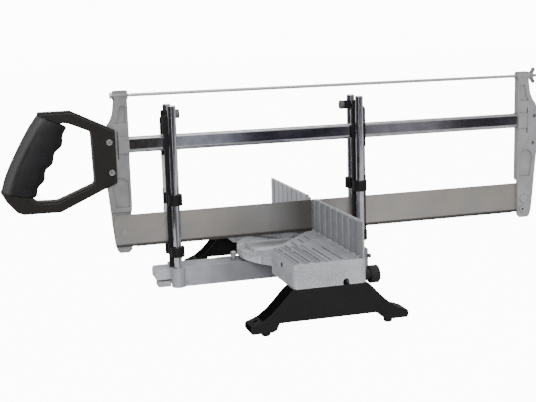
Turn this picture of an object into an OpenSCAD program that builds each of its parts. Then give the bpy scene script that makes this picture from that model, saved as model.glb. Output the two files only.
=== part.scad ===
// Manual mitre saw: a frame saw carried by two sliding guides on a swinging arm under a fenced table.
// Millimetres. X runs along the fence, Y along the saw with the handle at -Y, Z is up from the bench.
// Every module is drawn about the swing pivot and moved to the shared origin by placed().

/* [Table] */
// half the table's length along the fence
table_half = 172; // [120:1:200]
// table top above the bench
table_top = 79.5; // [60:0.5:100]
// depth of the table casting
table_depth = 28; // [20:0.5:36]
// front face of the table, in front of the pivot
table_front = 79.5; // [60:0.5:100]
// back face of the table, behind the pivot
table_back = 6; // [4:0.5:12]
// half angle of the opening the saw swings in
opening_half_angle = 48.65; // [46:0.05:55]
// half width of the opening at its inner end
table_tip = 10; // [8:0.5:16]
// thickness of the table plate
table_plate = 6; // [4:0.5:10]
// outer wall of the table casting
table_wall = 5; // [3:0.5:8]
// rib under the table
table_rib = 4; // [2:0.5:6]
// width of a pocket under the table
pocket_width = 35; // [20:1:50]
// half width of the floor around the pivot
hub_half = 16; // [12:0.5:24]
// gap between the teeth and the floor around the pivot
hub_clear = 4.2; // [2:0.1:8]
// corner radius of the table
table_corner = 4; // [1:0.5:8]

/* [Fence] */
// fence height above the table
fence_height = 41.6; // [25:0.1:60]
// fence plate thickness
fence_thick = 3.4; // [2:0.1:6]
// half width of the saw gap in the fence
kerf_half = 5.7; // [3:0.1:8]
// spacing of the fence ribs
fence_pitch = 19.6; // [14:0.1:30]
// width of one fence rib
fence_rib_width = 16; // [10:0.5:20]
// height of one fence rib off the plate
fence_rib_rise = 1.8; // [0.5:0.1:4]
// first rib from the pivot
fence_first = 26.5; // [20:0.5:40]
// number of ribs on each half
fence_ribs = 8; // [4:1:12]

/* [Table details] */
// number of groove rows
groove_rows = 5; // [3:1:7]
// spacing of the groove rows
groove_pitch = 12.5; // [8:0.5:18]
// front row of grooves in front of the pivot
groove_front = 71; // [50:0.5:76]
// groove width
groove_width = 2.5; // [1:0.1:4]
// groove depth
groove_depth = 1.2; // [0.5:0.1:2]
// margin of the long grooves at the table's end
groove_margin = 6; // [3:0.5:12]
// length of the longest groove's shortfall behind the opening's corner
groove_lead = 20; // [12:1:30]
// step of the inner end from row to row
groove_step = 3; // [0:0.5:6]
// margin of the short grooves beside the opening
dash_margin = 9; // [4:0.5:14]
// length of the short grooves
dash_length = 24; // [10:1:40]
// radius of the stop holes in the front face
stop_hole_radius = 3; // [2:0.25:5]
// stop holes from the table's end
stop_hole_inset = 43.3; // [30:0.1:60]
// stop holes below the table top
stop_hole_drop = 9.2; // [7:0.1:16]
// depth of the stop holes
stop_hole_depth = 10; // [6:0.5:16]
// width of the length rod slot
rod_slot_width = 7.5; // [5:0.5:12]
// roof of the length rod slot
rod_slot_top = 58.7; // [54:0.1:66]
// length rod slot in front of the pivot
rod_slot_y = 18.4; // [10:0.1:40]
// reach of the length rod slot into the table
rod_slot_reach = 60; // [20:1:80]

/* [Sector] */
// half width of the sector's seat behind the pivot
sector_seat = 40; // [30:1:60]
// outer radius of the sector
sector_radius = 94.5; // [80:0.5:110]
// sector top above the bench
sector_top = 62.5; // [58:0.5:70]
// sector underside above the bench
sector_bottom = 53; // [51:0.5:56]
// raised pad on the sector
pad_top = 66.5; // [63:0.5:72]
// outer radius of the raised pad
pad_radius = 82; // [60:0.5:90]
// half width of the raised pad
pad_half = 20; // [10:0.5:30]
// height of the pad's sloped edge
pad_slope = 3; // [1:0.5:6]
// depth of the index notches
notch_depth = 3.6; // [2:0.1:6]
// radial length of the index notches
notch_length = 9; // [5:0.5:14]
// width of the index notches
notch_width = 6; // [3:0.1:9]
// spacing of the main index angles
notch_step = 15; // [15:15:45]
// spacing of the degree marks
tick_step = 5; // [1:1:15]
// width of a degree mark
tick_width = 0.6; // [0.3:0.1:1.2]
// depth of a degree mark
tick_depth = 0.4; // [0.2:0.1:0.8]
// length of a degree mark
tick_length = 5; // [3:0.5:10]

/* [Feet] */
// width of a foot
foot_width = 25; // [15:1:40]
// thickness of the foot's outer web
foot_web = 4; // [2:0.5:8]
// thickness of the foot's top flange
foot_flange = 3.6; // [2:0.1:6]
// middle of the feet in front of the pivot
foot_middle = 36.75; // [20:0.25:50]
// half length of a foot
foot_half = 93.2; // [70:0.1:120]
// half length of the foot's top
foot_top_half = 43.8; // [30:0.1:60]
// underside of the web
foot_arch = 15.5; // [8:0.5:30]
// underside of the toes
toe_bottom = 6; // [3:0.5:12]
// thickness of the toe plate
toe_plate = 4; // [2:0.5:6]
// length of the toe plate
toe_length = 32; // [20:0.5:50]
// radius of a rubber pad
pad_foot_radius = 5; // [3:0.5:9]
// rubber pad from the foot's end
pad_foot_end = 20.4; // [12:0.1:30]
// rubber pad from the outer face of the foot
pad_foot_inset = 12; // [6:0.5:20]
// bench screw hole radius
bench_hole_radius = 3; // [2:0.25:5]
// bench screw hole from the foot's end
bench_hole_end = 8.2; // [6:0.1:12]
// foot screw radius
foot_screw_radius = 2.5; // [1.5:0.25:4]
// foot screw from the middle of the foot
foot_screw_offset = 29; // [15:0.5:38]
// foot screw from the outer face of the foot
foot_screw_inset = 9.5; // [8:0.5:14]
// foot screw length above the flange
foot_screw_reach = 12; // [6:0.5:20]

/* [Swing arm] */
// top of the arm
arm_top = 50.3; // [40:0.1:60]
// underside of the arm
arm_bottom = 26.3; // [15:0.1:35]
// half width of the arm
arm_half = 17; // [12:0.5:25]
// front end of the arm in front of the pivot
arm_front = 184; // [150:0.5:220]
// rear end of the arm behind the pivot
arm_rear = 73; // [50:0.5:100]
// corner radius of the arm's ends
arm_corner = 6; // [2:0.5:12]
// arm side wall
arm_wall = 4; // [2:0.5:6]
// arm roof
arm_roof = 5; // [3:0.5:8]
// radius of the post bosses
boss_radius = 8; // [7:0.5:12]
// radius of the pivot hub
hub_radius = 14; // [9:0.5:18]
// pivot bolt radius
pivot_radius = 4; // [3:0.25:6]
// pivot bolt head height
bolt_head = 5.3; // [3:0.1:8]
// pivot bolt head radius over corners
bolt_head_radius = 7.5; // [5:0.25:10]
// pivot bolt reach into the table hub
bolt_reach = 13; // [6:0.5:20]

/* [Index lever] */
// front end of the fixed thumb rest
rest_front = 204; // [190:0.5:225]
// rounding of the thumb rest
beak_round = 4; // [2:0.5:6]
// half width of the thumb rest
rest_half = 12; // [8:0.5:16]
// underside of the thumb rest
rest_bottom = 36; // [33:0.1:42]
// top of the thumb rest
rest_top = 49.5; // [44:0.1:50]
// front end of the lever
lever_front = 199.5; // [190:0.5:215]
// underside of the lever's finger plate
lever_bottom = 26.4; // [24:0.1:30]
// top of the lever's finger plate
lever_top = 33.4; // [30:0.1:35]
// half width of the finger plate
lever_half = 10.5; // [6:0.5:14]
// half width of the lever's stem
stem_half = 5; // [3:0.25:6]
// underside of the stem
stem_bottom = 29; // [27:0.1:32]
// stem inner end in front of the pivot
stem_inner = 86; // [80:0.5:100]
// lever pin in front of the pivot
pin_y = 165; // [150:0.5:175]
// lever pin height
pin_z = 31.2; // [29:0.1:34]
// lever pin radius
pin_radius = 2; // [1:0.1:3]
// length of the index tooth along the arm
tooth_length = 5; // [3:0.1:8]
// width of the index tooth
tooth_width = 5; // [3:0.1:8]
// gap between the tooth and the sector at rest
tooth_gap = 0.4; // [0.2:0.1:1]

/* [Pointer] */
// thickness of the pointer plate
pointer_thick = 0.9; // [0.5:0.1:1]
// width of the pointer plate
pointer_width = 6; // [4:0.5:10]
// length of the pointer plate along the arm
pointer_length = 24; // [16:0.5:40]
// gap between the pointer's tip and the sector
pointer_gap = 2; // [1:0.1:4]
// pointer screw behind the tip
pointer_screw_back = 6; // [5:0.1:9]
// pointer screw radius
pointer_screw_radius = 1.5; // [1:0.1:2.5]
// radius of the pointer screw's round head
pointer_head_radius = 3.5; // [2.5:0.1:5]
// height of the pointer screw's round head
pointer_head_height = 10; // [3:0.5:11]

/* [Posts] */
// post radius
post_radius = 5; // [3:0.25:8]
// half the spacing of a post pair
post_half = 14.5; // [11:0.1:20]
// front post pair in front of the pivot
post_front = 175.5; // [150:0.5:200]
// rear post pair behind the pivot
post_rear = 62; // [45:0.5:90]
// top of the posts
post_top = 246.5; // [200:0.5:280]
// floor left under the posts
post_floor = 2.5; // [1:0.5:5]
// post set screw radius
set_screw_radius = 2.5; // [1.5:0.25:4]
// height of the set screws
set_screw_z = 41.5; // [35:0.5:46]
// length a set screw stands out
set_screw_out = 2.4; // [0.5:0.1:4]

/* [Guides] */
// strip thickness
strip_thick = 3.1; // [2:0.1:5]
// inner face of the strips from the blade
strip_inner = 6; // [5:0.1:8]
// inner edge of the wide strip
wide_inner = -7.5; // [-9:0.5:0]
// outer edge of both strips at their top
strip_outer = 10.5; // [6:0.5:14]
// inner edge of the narrow strip
narrow_inner = -2; // [-6:0.5:4]
// outer edge of the narrow strip
narrow_outer = 9.2; // [6:0.1:12]
// bottom of the wide strip
wide_bottom = 64; // [55:0.5:75]
// bottom of the narrow strip above the arm
strip_lift = 0.4; // [0.2:0.1:2]
// shoulder of the wide strip
strip_shoulder = 213.5; // [200:0.5:225]
// top of the strips
strip_top = 234; // [220:0.5:245]
// collar radius on the posts
collar_radius = 8.5; // [7:0.1:11]
// middle collar bottom
collar_low = 127; // [120:0.5:140]
// middle collar height
collar_height = 13; // [8:0.5:20]
// lower collar height
foot_collar_height = 12; // [8:0.5:16]
// height of the web under the spine
saddle_height = 5.6; // [3:0.1:8]
// gap between the spine and the web under it
saddle_gap = 0.3; // [0.2:0.1:1]
// gap between the spine and the web over it
top_gap = 0.6; // [0.3:0.1:1.5]
// height of the top web
top_web = 4.5; // [3:0.5:8]
// start of the webs from the post line
web_start = 1; // [-2:0.5:4]
// length of the webs along the saw
web_length = 7; // [4:0.5:10]
// liner thickness
liner_thick = 1.1; // [0.6:0.1:1.5]
// liner inner edge from the post line
liner_start = -1.5; // [-2:0.5:4]
// gap between a liner's outer edge and its strip's
liner_margin = 0.5; // [0.2:0.1:2]
// gap between the pads and the blade
pad_gap = 0.35; // [0.3:0.05:0.8]
// length of a blade pad along the saw
pad_length = 6; // [4:0.5:9]

/* [Stop collars] */
// bottom of the stop collars
stop_bottom = 229; // [222:0.5:232]
// height of the stop collars
stop_height = 10; // [6:0.5:14]
// radius of the stop collars
stop_radius = 7.8; // [7:0.1:10]
// reach of the collar's screw block
stop_block = 10; // [8:0.5:14]
// half width of the screw block
stop_block_half = 4.2; // [3:0.1:5]
// thumbscrew head radius
thumb_radius = 5.5; // [4:0.25:8]
// thumbscrew head length
thumb_length = 4.5; // [3:0.25:8]
// thumbscrew thread radius
thumb_thread = 2; // [1:0.25:3]

/* [Saw frame] */
// tips of the teeth with the saw down
blade_bottom = 77.2; // [70:0.1:90]
// back of the blade
blade_top = 117.5; // [100:0.5:130]
// blade thickness
blade_thick = 0.9; // [0.5:0.1:1.5]
// handle end of the blade in front of the pivot
blade_near = 248.8; // [230:0.1:270]
// far end of the blade behind the pivot
blade_far = 306; // [280:0.5:330]
// height of the corner cut at the blade's ends
blade_corner = 8.7; // [2:0.1:14]
// slope of the corner cut at the blade's ends
blade_slope = 2.8; // [1:0.1:8]
// tooth pitch
tooth_pitch = 2; // [1:0.1:4]
// tooth depth
tooth_depth = 1.1; // [0.5:0.1:3]
// inner face of the handle casting in front of the pivot
near_face = 226.2; // [200:0.1:250]
// inner face of the far casting behind the pivot
far_face = 291.5; // [250:0.1:330]
// half thickness of the castings
casting_half = 5; // [3:0.25:8]
// half width of the spine sockets
socket_half = 7; // [6:0.25:10]
// depth of the spine sockets
socket_depth = 11; // [6:0.5:16]
// bottom of the spine
spine_bottom = 192.1; // [180:0.1:200]
// spine height
spine_height = 19.2; // [12:0.1:25]
// spine half width
spine_half = 4.5; // [3:0.1:6]
// spine wall
spine_wall = 1.2; // [0.8:0.1:2]
// blade pins from the castings' inner faces
blade_pin_out = 9.6; // [6:0.1:14]
// blade pin height
blade_pin_z = 96.4; // [85:0.1:105]
// blade pin radius
blade_pin_radius = 2; // [1:0.1:3]
// blade pin head radius
blade_pin_head = 4.5; // [3:0.25:6]
// blade pin head height
blade_pin_rise = 1.6; // [1:0.1:3]
// height of the bosses around the blade pin and the spare hole
pin_boss_rise = 1.4; // [0.5:0.1:3]
// spare hole from the castings' inner faces
spare_hole_out = 8; // [6:0.1:12]
// spare hole below the blade pin
spare_hole_drop = 14; // [11:0.5:16]
// reach of the castings' bulge from their inner faces
lug_out = 34.5; // [28:0.1:42]
// castings above the tension rod
casting_above = 5.6; // [4:0.1:12]
// castings below the blade
casting_below = 6.2; // [2:0.1:10]
// depth of the panels in the castings
panel_depth = 1.4; // [0.5:0.1:2.5]
// tension rod radius
rod_radius = 2; // [1.5:0.1:3]
// tension rod above the spine
rod_rise = 49.1; // [40:0.1:60]
// length of tension rod past the far casting
rod_tail = 14; // [8:0.5:25]
// length of the castings' rod boss in front of the face beside the spine
rod_boss_front = 16; // [10:0.5:20]
// length of the castings' rod boss behind that face
rod_boss_back = 1.4; // [0.5:0.1:3]
// length of tension rod head
rod_head = 3.2; // [2:0.1:6]
// thickness of tension rod washer
rod_washer_thick = 1.2; // [0.6:0.1:2]
// gap between the washer and the wing nut
wing_gap = 0.1; // [0.05:0.05:0.3]
// wing nut hub radius
wing_hub = 4; // [3:0.25:7]
// wing nut hub length
wing_length = 6; // [4:0.5:10]
// wing reach from the rod
wing_reach = 10.2; // [8:0.1:16]
// wing thickness
wing_thick = 2.4; // [1.5:0.1:4]

/* [Handle] */
// half thickness of the handle frame
frame_half = 10; // [7:0.5:15]
// half thickness of the grip
grip_half = 14; // [10:0.5:18]
// bottom of the handle frame
frame_bottom = 128; // [115:0.5:145]
// top of the handle frame
frame_top = 245.3; // [225:0.1:260]
// outer end of the frame's foot in front of the pivot
frame_heel = 376.4; // [350:0.1:400]
// inner face of the handle frame in front of the pivot
frame_inner = 242.6; // [235:0.1:250]
// radius of the handle screw heads
handle_screw_head = 3.5; // [3:0.1:6]
// radius of the handle screws
handle_screw_radius = 2.5; // [1.5:0.1:4]
// height of the waves on the grip's finger side
finger_wave = 1.3; // [0:0.1:3]
// number of finger hollows
finger_count = 4; // [2:1:5]
// share of the grip's width left to its core
core_share = 0.42; // [0.3:0.01:0.6]
// half thickness of the grip's core
core_half = 6; // [4:0.25:9]

/* [Lock knob] */
// knob centre from the table's end
knob_inset = 18; // [12:0.5:24]
// knob centre above the table's underside
knob_rise = 4.1; // [4:0.1:8]
// knob head radius
knob_radius = 10.2; // [8:0.1:14]
// knob neck radius
knob_neck = 6.8; // [5:0.1:8]
// start of the knob behind the pivot
knob_start = 10.6; // [8:0.1:14]
// start of the knob's head behind the pivot
knob_head_start = 16; // [13:0.5:25]
// end of the knob behind the pivot
knob_end = 26.5; // [22:0.5:38]
// number of flutes on the knob
knob_flutes = 20; // [6:1:30]
// lock screw radius
stud_radius = 3; // [2:0.25:4]

/* [Hidden] */
$fn = 48;

// overrun of every cutting shape
cut = 1;
// radial clearance of a running fit
run_gap = 0.05;
table_bottom = table_top - table_depth;
fence_top = table_top + fence_height;
// shift that puts the middle of the whole saw over the origin
pivot_shift = (frame_heel - far_face - lug_out) / 2;
opening_slope = tan(opening_half_angle);
// metal between a rear post and the arm's end
set_screw_wall = arm_rear - post_rear - post_radius;
// height of the table's floor behind the fence where the blade swings over it
hub_top = blade_bottom - hub_clear;
rod_z = spine_bottom + spine_height + rod_rise;
casting_bottom = blade_bottom - casting_below;
casting_top = rod_z + casting_above;
pad_foot_offset = foot_half - pad_foot_end;
bench_hole_offset = foot_half - bench_hole_end;
knob_x = table_half - knob_inset;
knob_z = table_bottom + knob_rise;
stop_hole_x = table_half - stop_hole_inset;
stop_hole_z = table_top - stop_hole_drop;
opening_front = table_front * tan(opening_half_angle);
arm_height = arm_top - arm_bottom;
strip_outer_face = strip_inner + strip_thick;
rod_hole = rod_radius + run_gap;

module placed() {
  translate([0, pivot_shift, 0]) children();
}

// extrudes a Y-Z outline along X, centred on x
module across(x, thick) {
  translate([x - thick / 2, 0, 0]) rotate([90, 0, 90]) linear_extrude(thick) children();
}

// extrudes an X-Z outline along Y from y
module lengthwise(y, length) {
  translate([0, y + length, 0]) rotate([90, 0, 0]) linear_extrude(length) children();
}

// round bar along Y
module bar_y(x, y, z, radius, length) {
  translate([x, y, z]) rotate([-90, 0, 0]) cylinder(r = radius, h = length);
}

// round bar along X
module bar_x(x, y, z, radius, length) {
  translate([x, y, z]) rotate([0, 90, 0]) cylinder(r = radius, h = length);
}

module block(low, high) {
  translate(low) cube(high - low);
}

// TABLE

// plan of the right half of the table, drawn in by a margin
module half_plan(inset) {
  edge = inset / cos(opening_half_angle);
  front = -table_front + inset;
  polygon([
    [table_tip + inset, table_back - inset],
    [table_tip + inset, min(-(table_tip - edge + inset) / opening_slope, table_back - inset - cut)],
    [-front * opening_slope + edge, front],
    [table_half - inset, front],
    [table_half - inset, table_back - inset]]);
}

module both_sides() {
  children();
  mirror([1, 0, 0]) children();
}

// hollow under one half of the table, parted by ribs
module table_pockets() {
  step = pocket_width + table_rib;
  row = (table_front + table_back - 2 * table_wall - table_rib) / 2;
  intersection() {
    translate([0, 0, table_bottom - cut])
      linear_extrude(table_depth - table_plate + cut) half_plan(table_wall);
    for (column = [1:4])
      for (line = [0:1])
        translate([table_half - table_wall - column * step + table_rib,
                   -table_front + table_wall + line * (row + table_rib), table_bottom - cut])
          cube([pocket_width, row, table_depth]);
  }
}

module table_grooves() {
  for (row = [0:groove_rows - 1]) {
    y = -groove_front + row * groove_pitch;
    inner = opening_front + groove_lead - row * groove_step;
    dash = -y * opening_slope + dash_margin;
    groove(inner, table_half - groove_margin, y);
    groove(dash, min(dash + dash_length, inner - dash_margin / 2), y);
  }
}

module groove(from, to, y) {
  half = groove_width / 2;
  translate([0, 0, table_top - groove_depth]) linear_extrude(groove_depth + cut) {
    translate([from + half, y - half]) square([to - from - groove_width, groove_width]);
    translate([from + half, y]) circle(r = half);
    translate([to - half, y]) circle(r = half);
  }
}

// one half of the fence, a plate with rounded upright ribs
module fence_half() {
  rib_circle = fence_rib_width * fence_rib_width / (8 * fence_rib_rise) + fence_rib_rise / 2;
  last = table_half - fence_rib_width / 2 - fence_thick;
  block([kerf_half, 0, hub_top - cut], [table_half - fence_thick, fence_thick, fence_top - fence_rib_rise]);
  intersection() {
    union()
      for (rib = [0:fence_ribs - 1])
        translate([min(fence_first + rib * fence_pitch, last), rib_circle - fence_rib_rise,
                   table_top - table_plate / 2])
          cylinder(r = rib_circle, h = fence_height + table_plate / 2);
    block([kerf_half, -fence_rib_rise - cut, table_bottom], [table_half, fence_thick, fence_top]);
  }
  // foot fillet of the fence on the table
  difference() {
    block([kerf_half + table_tip / 2, -fence_thick, table_top - cut],
          [table_half - fence_thick, cut, table_top + fence_thick - fence_rib_rise / 2]);
    bar_x(0, -fence_thick - fence_rib_rise / 2, table_top + fence_thick, fence_thick, table_half);
  }
}

module sector() {
  reach = sector_radius + cut;
  side = -table_front * 0.55;
  difference() {
    union() {
      translate([0, 0, sector_bottom]) cylinder(r = sector_radius, h = sector_top - sector_bottom, $fn = 96);
      // raised pad with a sloped edge
      intersection() {
        translate([0, 0, sector_top - cut])
          cylinder(r1 = pad_radius + pad_slope, r2 = pad_radius, h = pad_top - sector_top + cut, $fn = 96);
        lengthwise(-reach, reach + table_back)
          polygon([[-pad_half - pad_slope, sector_top - cut], [pad_half + pad_slope, sector_top - cut],
                   [pad_half, pad_top], [-pad_half, pad_top]]);
      }
    }
    // the sector ends under the two table halves
    block([-reach, table_back, 0], [reach, reach, table_top]);
    both_sides() linear_extrude(table_top)
      polygon([[sector_seat, table_back + cut], [reach + cut, table_back + cut], [reach + cut, side]]);
    index_notches();
    degree_marks();
  }
}

module index_notches() {
  for (angle = [-45:notch_step:45])
    rotate(angle)
      block([-notch_width / 2, -stem_inner - tooth_length - (notch_length - tooth_length) / 2,
             sector_bottom - cut],
            [notch_width / 2, -stem_inner + (notch_length - tooth_length) / 2,
             sector_bottom + notch_depth]);
}

module degree_marks() {
  for (angle = [-45:tick_step:45])
    rotate(angle)
      block([-tick_width / 2, -sector_radius - cut, sector_top - tick_depth],
            [tick_width / 2, -sector_radius + tick_length, sector_top + cut]);
}

module bed_casting() placed() color([0.7, 0.7, 0.71]) {
  difference() {
    union() {
      difference() {
        both_sides() translate([0, 0, table_bottom]) linear_extrude(table_depth) half_plan(0);
        both_sides() table_pockets();
      }
      both_sides() fence_half();
      both_sides() foot_bosses();
      both_sides() knob_boss();
      both_sides()
        bar_y(stop_hole_x, -table_front, stop_hole_z, stop_hole_radius * 2, stop_hole_depth + table_rib);
      both_sides() rod_rail();
      // hub around the pivot bolt, joined to both table halves
      intersection() {
        translate([0, 0, table_bottom]) cylinder(r = hub_half + table_tip, h = hub_top - table_bottom);
        block([-hub_half - table_tip, -hub_half, table_bottom],
              [hub_half + table_tip, table_back, hub_top]);
      }
      sector();
    }
    // floor for the swinging blade behind the fence
    block([-hub_half, fence_thick, hub_top], [hub_half, table_back + cut, fence_top]);
    // saw gap through the fence
    block([-kerf_half, -table_back, hub_top], [kerf_half, table_back + cut, fence_top + cut]);
    translate([0, 0, table_bottom - cut]) cylinder(r = pivot_radius, h = bolt_reach + cut);
    both_sides() table_grooves();
    both_sides() bar_y(stop_hole_x, -table_front - cut, stop_hole_z, stop_hole_radius, stop_hole_depth + cut);
    both_sides() rod_slot();
    both_sides() bar_y(knob_x, -rod_slot_y, knob_z, stud_radius + run_gap, rod_slot_y + table_back + cut);
    both_sides() foot_screw_spots()
      translate([0, 0, table_bottom - cut]) cylinder(r = foot_screw_radius, h = foot_screw_reach + cut);
    // rounded outer corners of the table
    both_sides() for (end = [-table_front, table_back]) corner_round(table_half, end);
  }
}

module corner_round(x, y) {
  side = sign(y);
  difference() {
    block([x - table_corner, min(y - side * table_corner, y + side * cut), table_bottom - cut],
          [x + cut, max(y - side * table_corner, y + side * cut), fence_top + cut]);
    translate([x - table_corner, y - side * table_corner, table_bottom - 2 * cut])
      cylinder(r = table_corner, h = fence_height + table_depth + 4 * cut);
  }
}

module rod_slot() {
  half = rod_slot_width / 2;
  block([table_half - rod_slot_reach, -rod_slot_y - half, table_bottom - cut],
        [table_half + cut, -rod_slot_y + half, rod_slot_top - half]);
  bar_x(table_half - rod_slot_reach, -rod_slot_y, rod_slot_top - half, half, rod_slot_reach + cut);
}

// solid rail that the length rod slot is cut in
module rod_rail() {
  half = rod_slot_width / 2 + table_rib;
  block([table_half - rod_slot_reach - table_rib, -rod_slot_y - half, table_bottom],
        [table_half - cut, -rod_slot_y + half, table_top - cut]);
}

module foot_screw_spots() {
  for (side = [-1, 1])
    translate([table_half - foot_screw_inset, -foot_middle + side * foot_screw_offset, 0]) children();
}

module foot_bosses() {
  foot_screw_spots()
    translate([0, 0, table_bottom]) cylinder(r = foot_screw_radius * 2.4, h = table_depth - table_plate / 2);
}

module knob_boss() {
  boss = stud_radius * 2;
  intersection() {
    bar_y(knob_x, -table_wall * 2, knob_z, boss, table_wall * 2 + table_back);
    block([knob_x - boss, -table_wall * 2, table_bottom], [knob_x + boss, table_back, knob_z + boss]);
  }
}

// FEET

// shares of a foot's overhang and height, from the table's edge down to the toe
foot_shares = [
  [0, 0], [0.089, 0.079], [0.202, 0.211], [0.352, 0.382], [0.514, 0.549], [0.717, 0.703],
  [0.98, 0.809], [1, 0.846], [1, 0.956], [0.968, 1]];

function foot_curve() =
  [for (share = foot_shares)
    [foot_top_half + share[0] * (foot_half - foot_top_half),
     table_bottom - share[1] * (table_bottom - toe_bottom)]];

module foot_side_half() {
  inner_toe = foot_half - toe_length;
  knee = 7;
  polygon(concat([[0, foot_arch], [0, table_bottom]], foot_curve(),
    [[inner_toe + knee, toe_bottom], [inner_toe + knee * 0.3, toe_bottom + knee * 0.3],
     [inner_toe, toe_bottom + knee], [inner_toe - 1.5, foot_arch]]));
}

module foot_side() {
  for (side = [0, 1]) translate([-foot_middle, 0]) mirror([side, 0]) foot_side_half();
}

module foot() {
  mid = table_half - foot_width / 2;
  difference() {
    union() {
      across(table_half - foot_web / 2, foot_web) foot_side();
      // flange that follows the top of the web
      across(mid, foot_width) difference() {
        foot_side();
        translate([0, -foot_flange]) foot_side();
        translate([-foot_middle - foot_half - cut, 0])
          square([2 * (foot_half + cut), toe_bottom + toe_plate + foot_flange]);
      }
      // toe plates and end walls
      across(mid, foot_width) intersection() {
        foot_side();
        union() {
          for (side = [-1, 1]) {
            end = -foot_middle + side * foot_half;
            translate([min(end, end - side * toe_length), toe_bottom]) square([toe_length, toe_plate]);
            translate([min(end, end - side * foot_flange), toe_bottom])
              square([foot_flange, toe_bottom + toe_plate + foot_flange]);
          }
        }
      }
    }
    for (side = [-1, 1]) {
      y = -foot_middle + side * bench_hole_offset;
      translate([mid, y, 0]) cylinder(r = bench_hole_radius, h = table_bottom);
      translate([table_half - pad_foot_inset, -foot_middle + side * pad_foot_offset, 0])
        cylinder(r = pad_foot_radius / 2, h = toe_bottom + toe_plate + cut);
    }
    foot_screw_spots() cylinder(r = foot_screw_radius + run_gap, h = table_bottom + cut);
  }
}

module right_foot() placed() color([0.12, 0.12, 0.12]) foot();

module left_foot() placed() color([0.12, 0.12, 0.12]) mirror([1, 0, 0]) foot();

module foot_pads() placed() color([0.08, 0.08, 0.08])
  both_sides() for (side = [-1, 1])
    translate([table_half - pad_foot_inset, -foot_middle + side * pad_foot_offset, 0]) {
      chamfer = 0.8;
      cylinder(r1 = pad_foot_radius - chamfer, r2 = pad_foot_radius, h = chamfer);
      translate([0, 0, chamfer]) cylinder(r = pad_foot_radius, h = toe_bottom - chamfer);
      cylinder(r = pad_foot_radius / 2, h = toe_bottom + toe_plate);
    }

module foot_screws() placed() color([0.6, 0.6, 0.62])
  both_sides() foot_screw_spots() {
    head = foot_screw_radius * 2;
    seat = table_bottom - foot_flange;
    difference() {
      translate([0, 0, seat - foot_screw_radius])
        cylinder(r1 = head - 1, r2 = head, h = foot_screw_radius);
      translate([0, 0, seat - foot_screw_radius - cut])
        cylinder(r = foot_screw_radius * 0.6, h = cut + foot_screw_radius * 0.6, $fn = 6);
    }
    translate([0, 0, seat - cut / 2]) cylinder(r = foot_screw_radius, h = foot_screw_reach + foot_flange);
  }

// PIVOT

module pivot_bolt() placed() color([0.6, 0.6, 0.62]) {
  washer = table_bottom - arm_top;
  translate([0, 0, arm_bottom - washer - bolt_head]) cylinder(r = bolt_head_radius, h = bolt_head, $fn = 6);
  translate([0, 0, arm_bottom - washer - cut / 4]) cylinder(r = bolt_head_radius + 2, h = washer - cut / 4);
  translate([0, 0, arm_bottom - washer]) cylinder(r = pivot_radius, h = arm_height + 2 * washer + bolt_reach);
}

module pivot_washer() placed() color([0.62, 0.62, 0.64])
  translate([0, 0, arm_top + run_gap]) difference() {
    cylinder(r = hub_radius - 2, h = table_bottom - arm_top - run_gap);
    translate([0, 0, -cut]) cylinder(r = pivot_radius, h = table_bottom);
  }

// SWING ARM

module rounded_plan(left, right, front, back, radius) {
  translate([left + radius, front]) square([right - left - 2 * radius, back - front]);
  translate([left, front + radius]) square([right - left, back - front - 2 * radius]);
  for (x = [left + radius, right - radius])
    for (y = [front + radius, back - radius])
      translate([x, y]) circle(r = radius);
}

module post_spots() {
  for (y = [-post_front, post_rear])
    for (side = [-1, 1])
      translate([side * post_half, y, 0]) children();
}

module swing_arm() placed() color([0.63, 0.64, 0.67]) difference() {
  union() {
    difference() {
      translate([0, 0, arm_bottom]) linear_extrude(arm_height)
        rounded_plan(-arm_half, arm_half, -arm_front, arm_rear, arm_corner);
      // channel under the roof
      translate([0, 0, arm_bottom - cut]) linear_extrude(arm_height - arm_roof + cut)
        rounded_plan(-arm_half + arm_wall, arm_half - arm_wall, -arm_front + arm_wall,
                     arm_rear - arm_wall, arm_corner - arm_wall + cut);
    }
    post_spots() translate([0, 0, arm_bottom]) cylinder(r = boss_radius, h = arm_height);
    translate([0, 0, arm_bottom]) cylinder(r = hub_radius, h = arm_height);
    // cross ribs in the channel
    for (y = [-pin_y / 2 + pivot_radius * 4, post_rear / 2])
      block([-arm_half + cut, y, lever_top + pin_radius * 2], [arm_half - cut, y + arm_wall, arm_top - cut]);
    thumb_rest();
    // ears of the lever pin
    both_sides() bar_x(stem_half + 1, -pin_y, pin_z, pin_radius * 2.2, arm_half - stem_half - 1 - cut / 4);
  }
  post_spots() translate([0, 0, arm_bottom + post_floor]) cylinder(r = post_radius, h = post_top);
  translate([0, 0, arm_bottom - cut]) cylinder(r = pivot_radius + run_gap, h = arm_height + 2 * cut);
  // mouth for the lever in the arm's front end
  block([-lever_half - cut / 2, -arm_front - cut, arm_bottom - cut],
        [lever_half + cut / 2, -arm_front + arm_wall + cut, (lever_top + rest_bottom) / 2 + cut / 2]);
  // slot for the index tooth in the roof
  block([-tooth_width / 2 - 1, -stem_inner - tooth_length - 2, arm_top - arm_roof - cut],
        [tooth_width / 2 + 1, -stem_inner + 2, arm_top + cut]);
  bar_x(-arm_half - cut, -pin_y, pin_z, pin_radius, 2 * (arm_half + cut));
  set_screw_spots() translate([0, 0, -cut]) cylinder(r = set_screw_radius, h = set_screw_wall + 2 * cut);
  translate([0, -sector_radius - pointer_gap - pointer_screw_back, arm_top - arm_roof - cut])
    cylinder(r = pointer_screw_radius, h = arm_roof + 2 * cut);
}

// places a set screw's axis at each rear post, starting at the post and pointing out of the arm
module set_screw_spots() {
  for (side = [-1, 1])
    translate([side * post_half, post_rear + post_radius, set_screw_z]) rotate([-90, 0, 0]) children();
}

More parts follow.
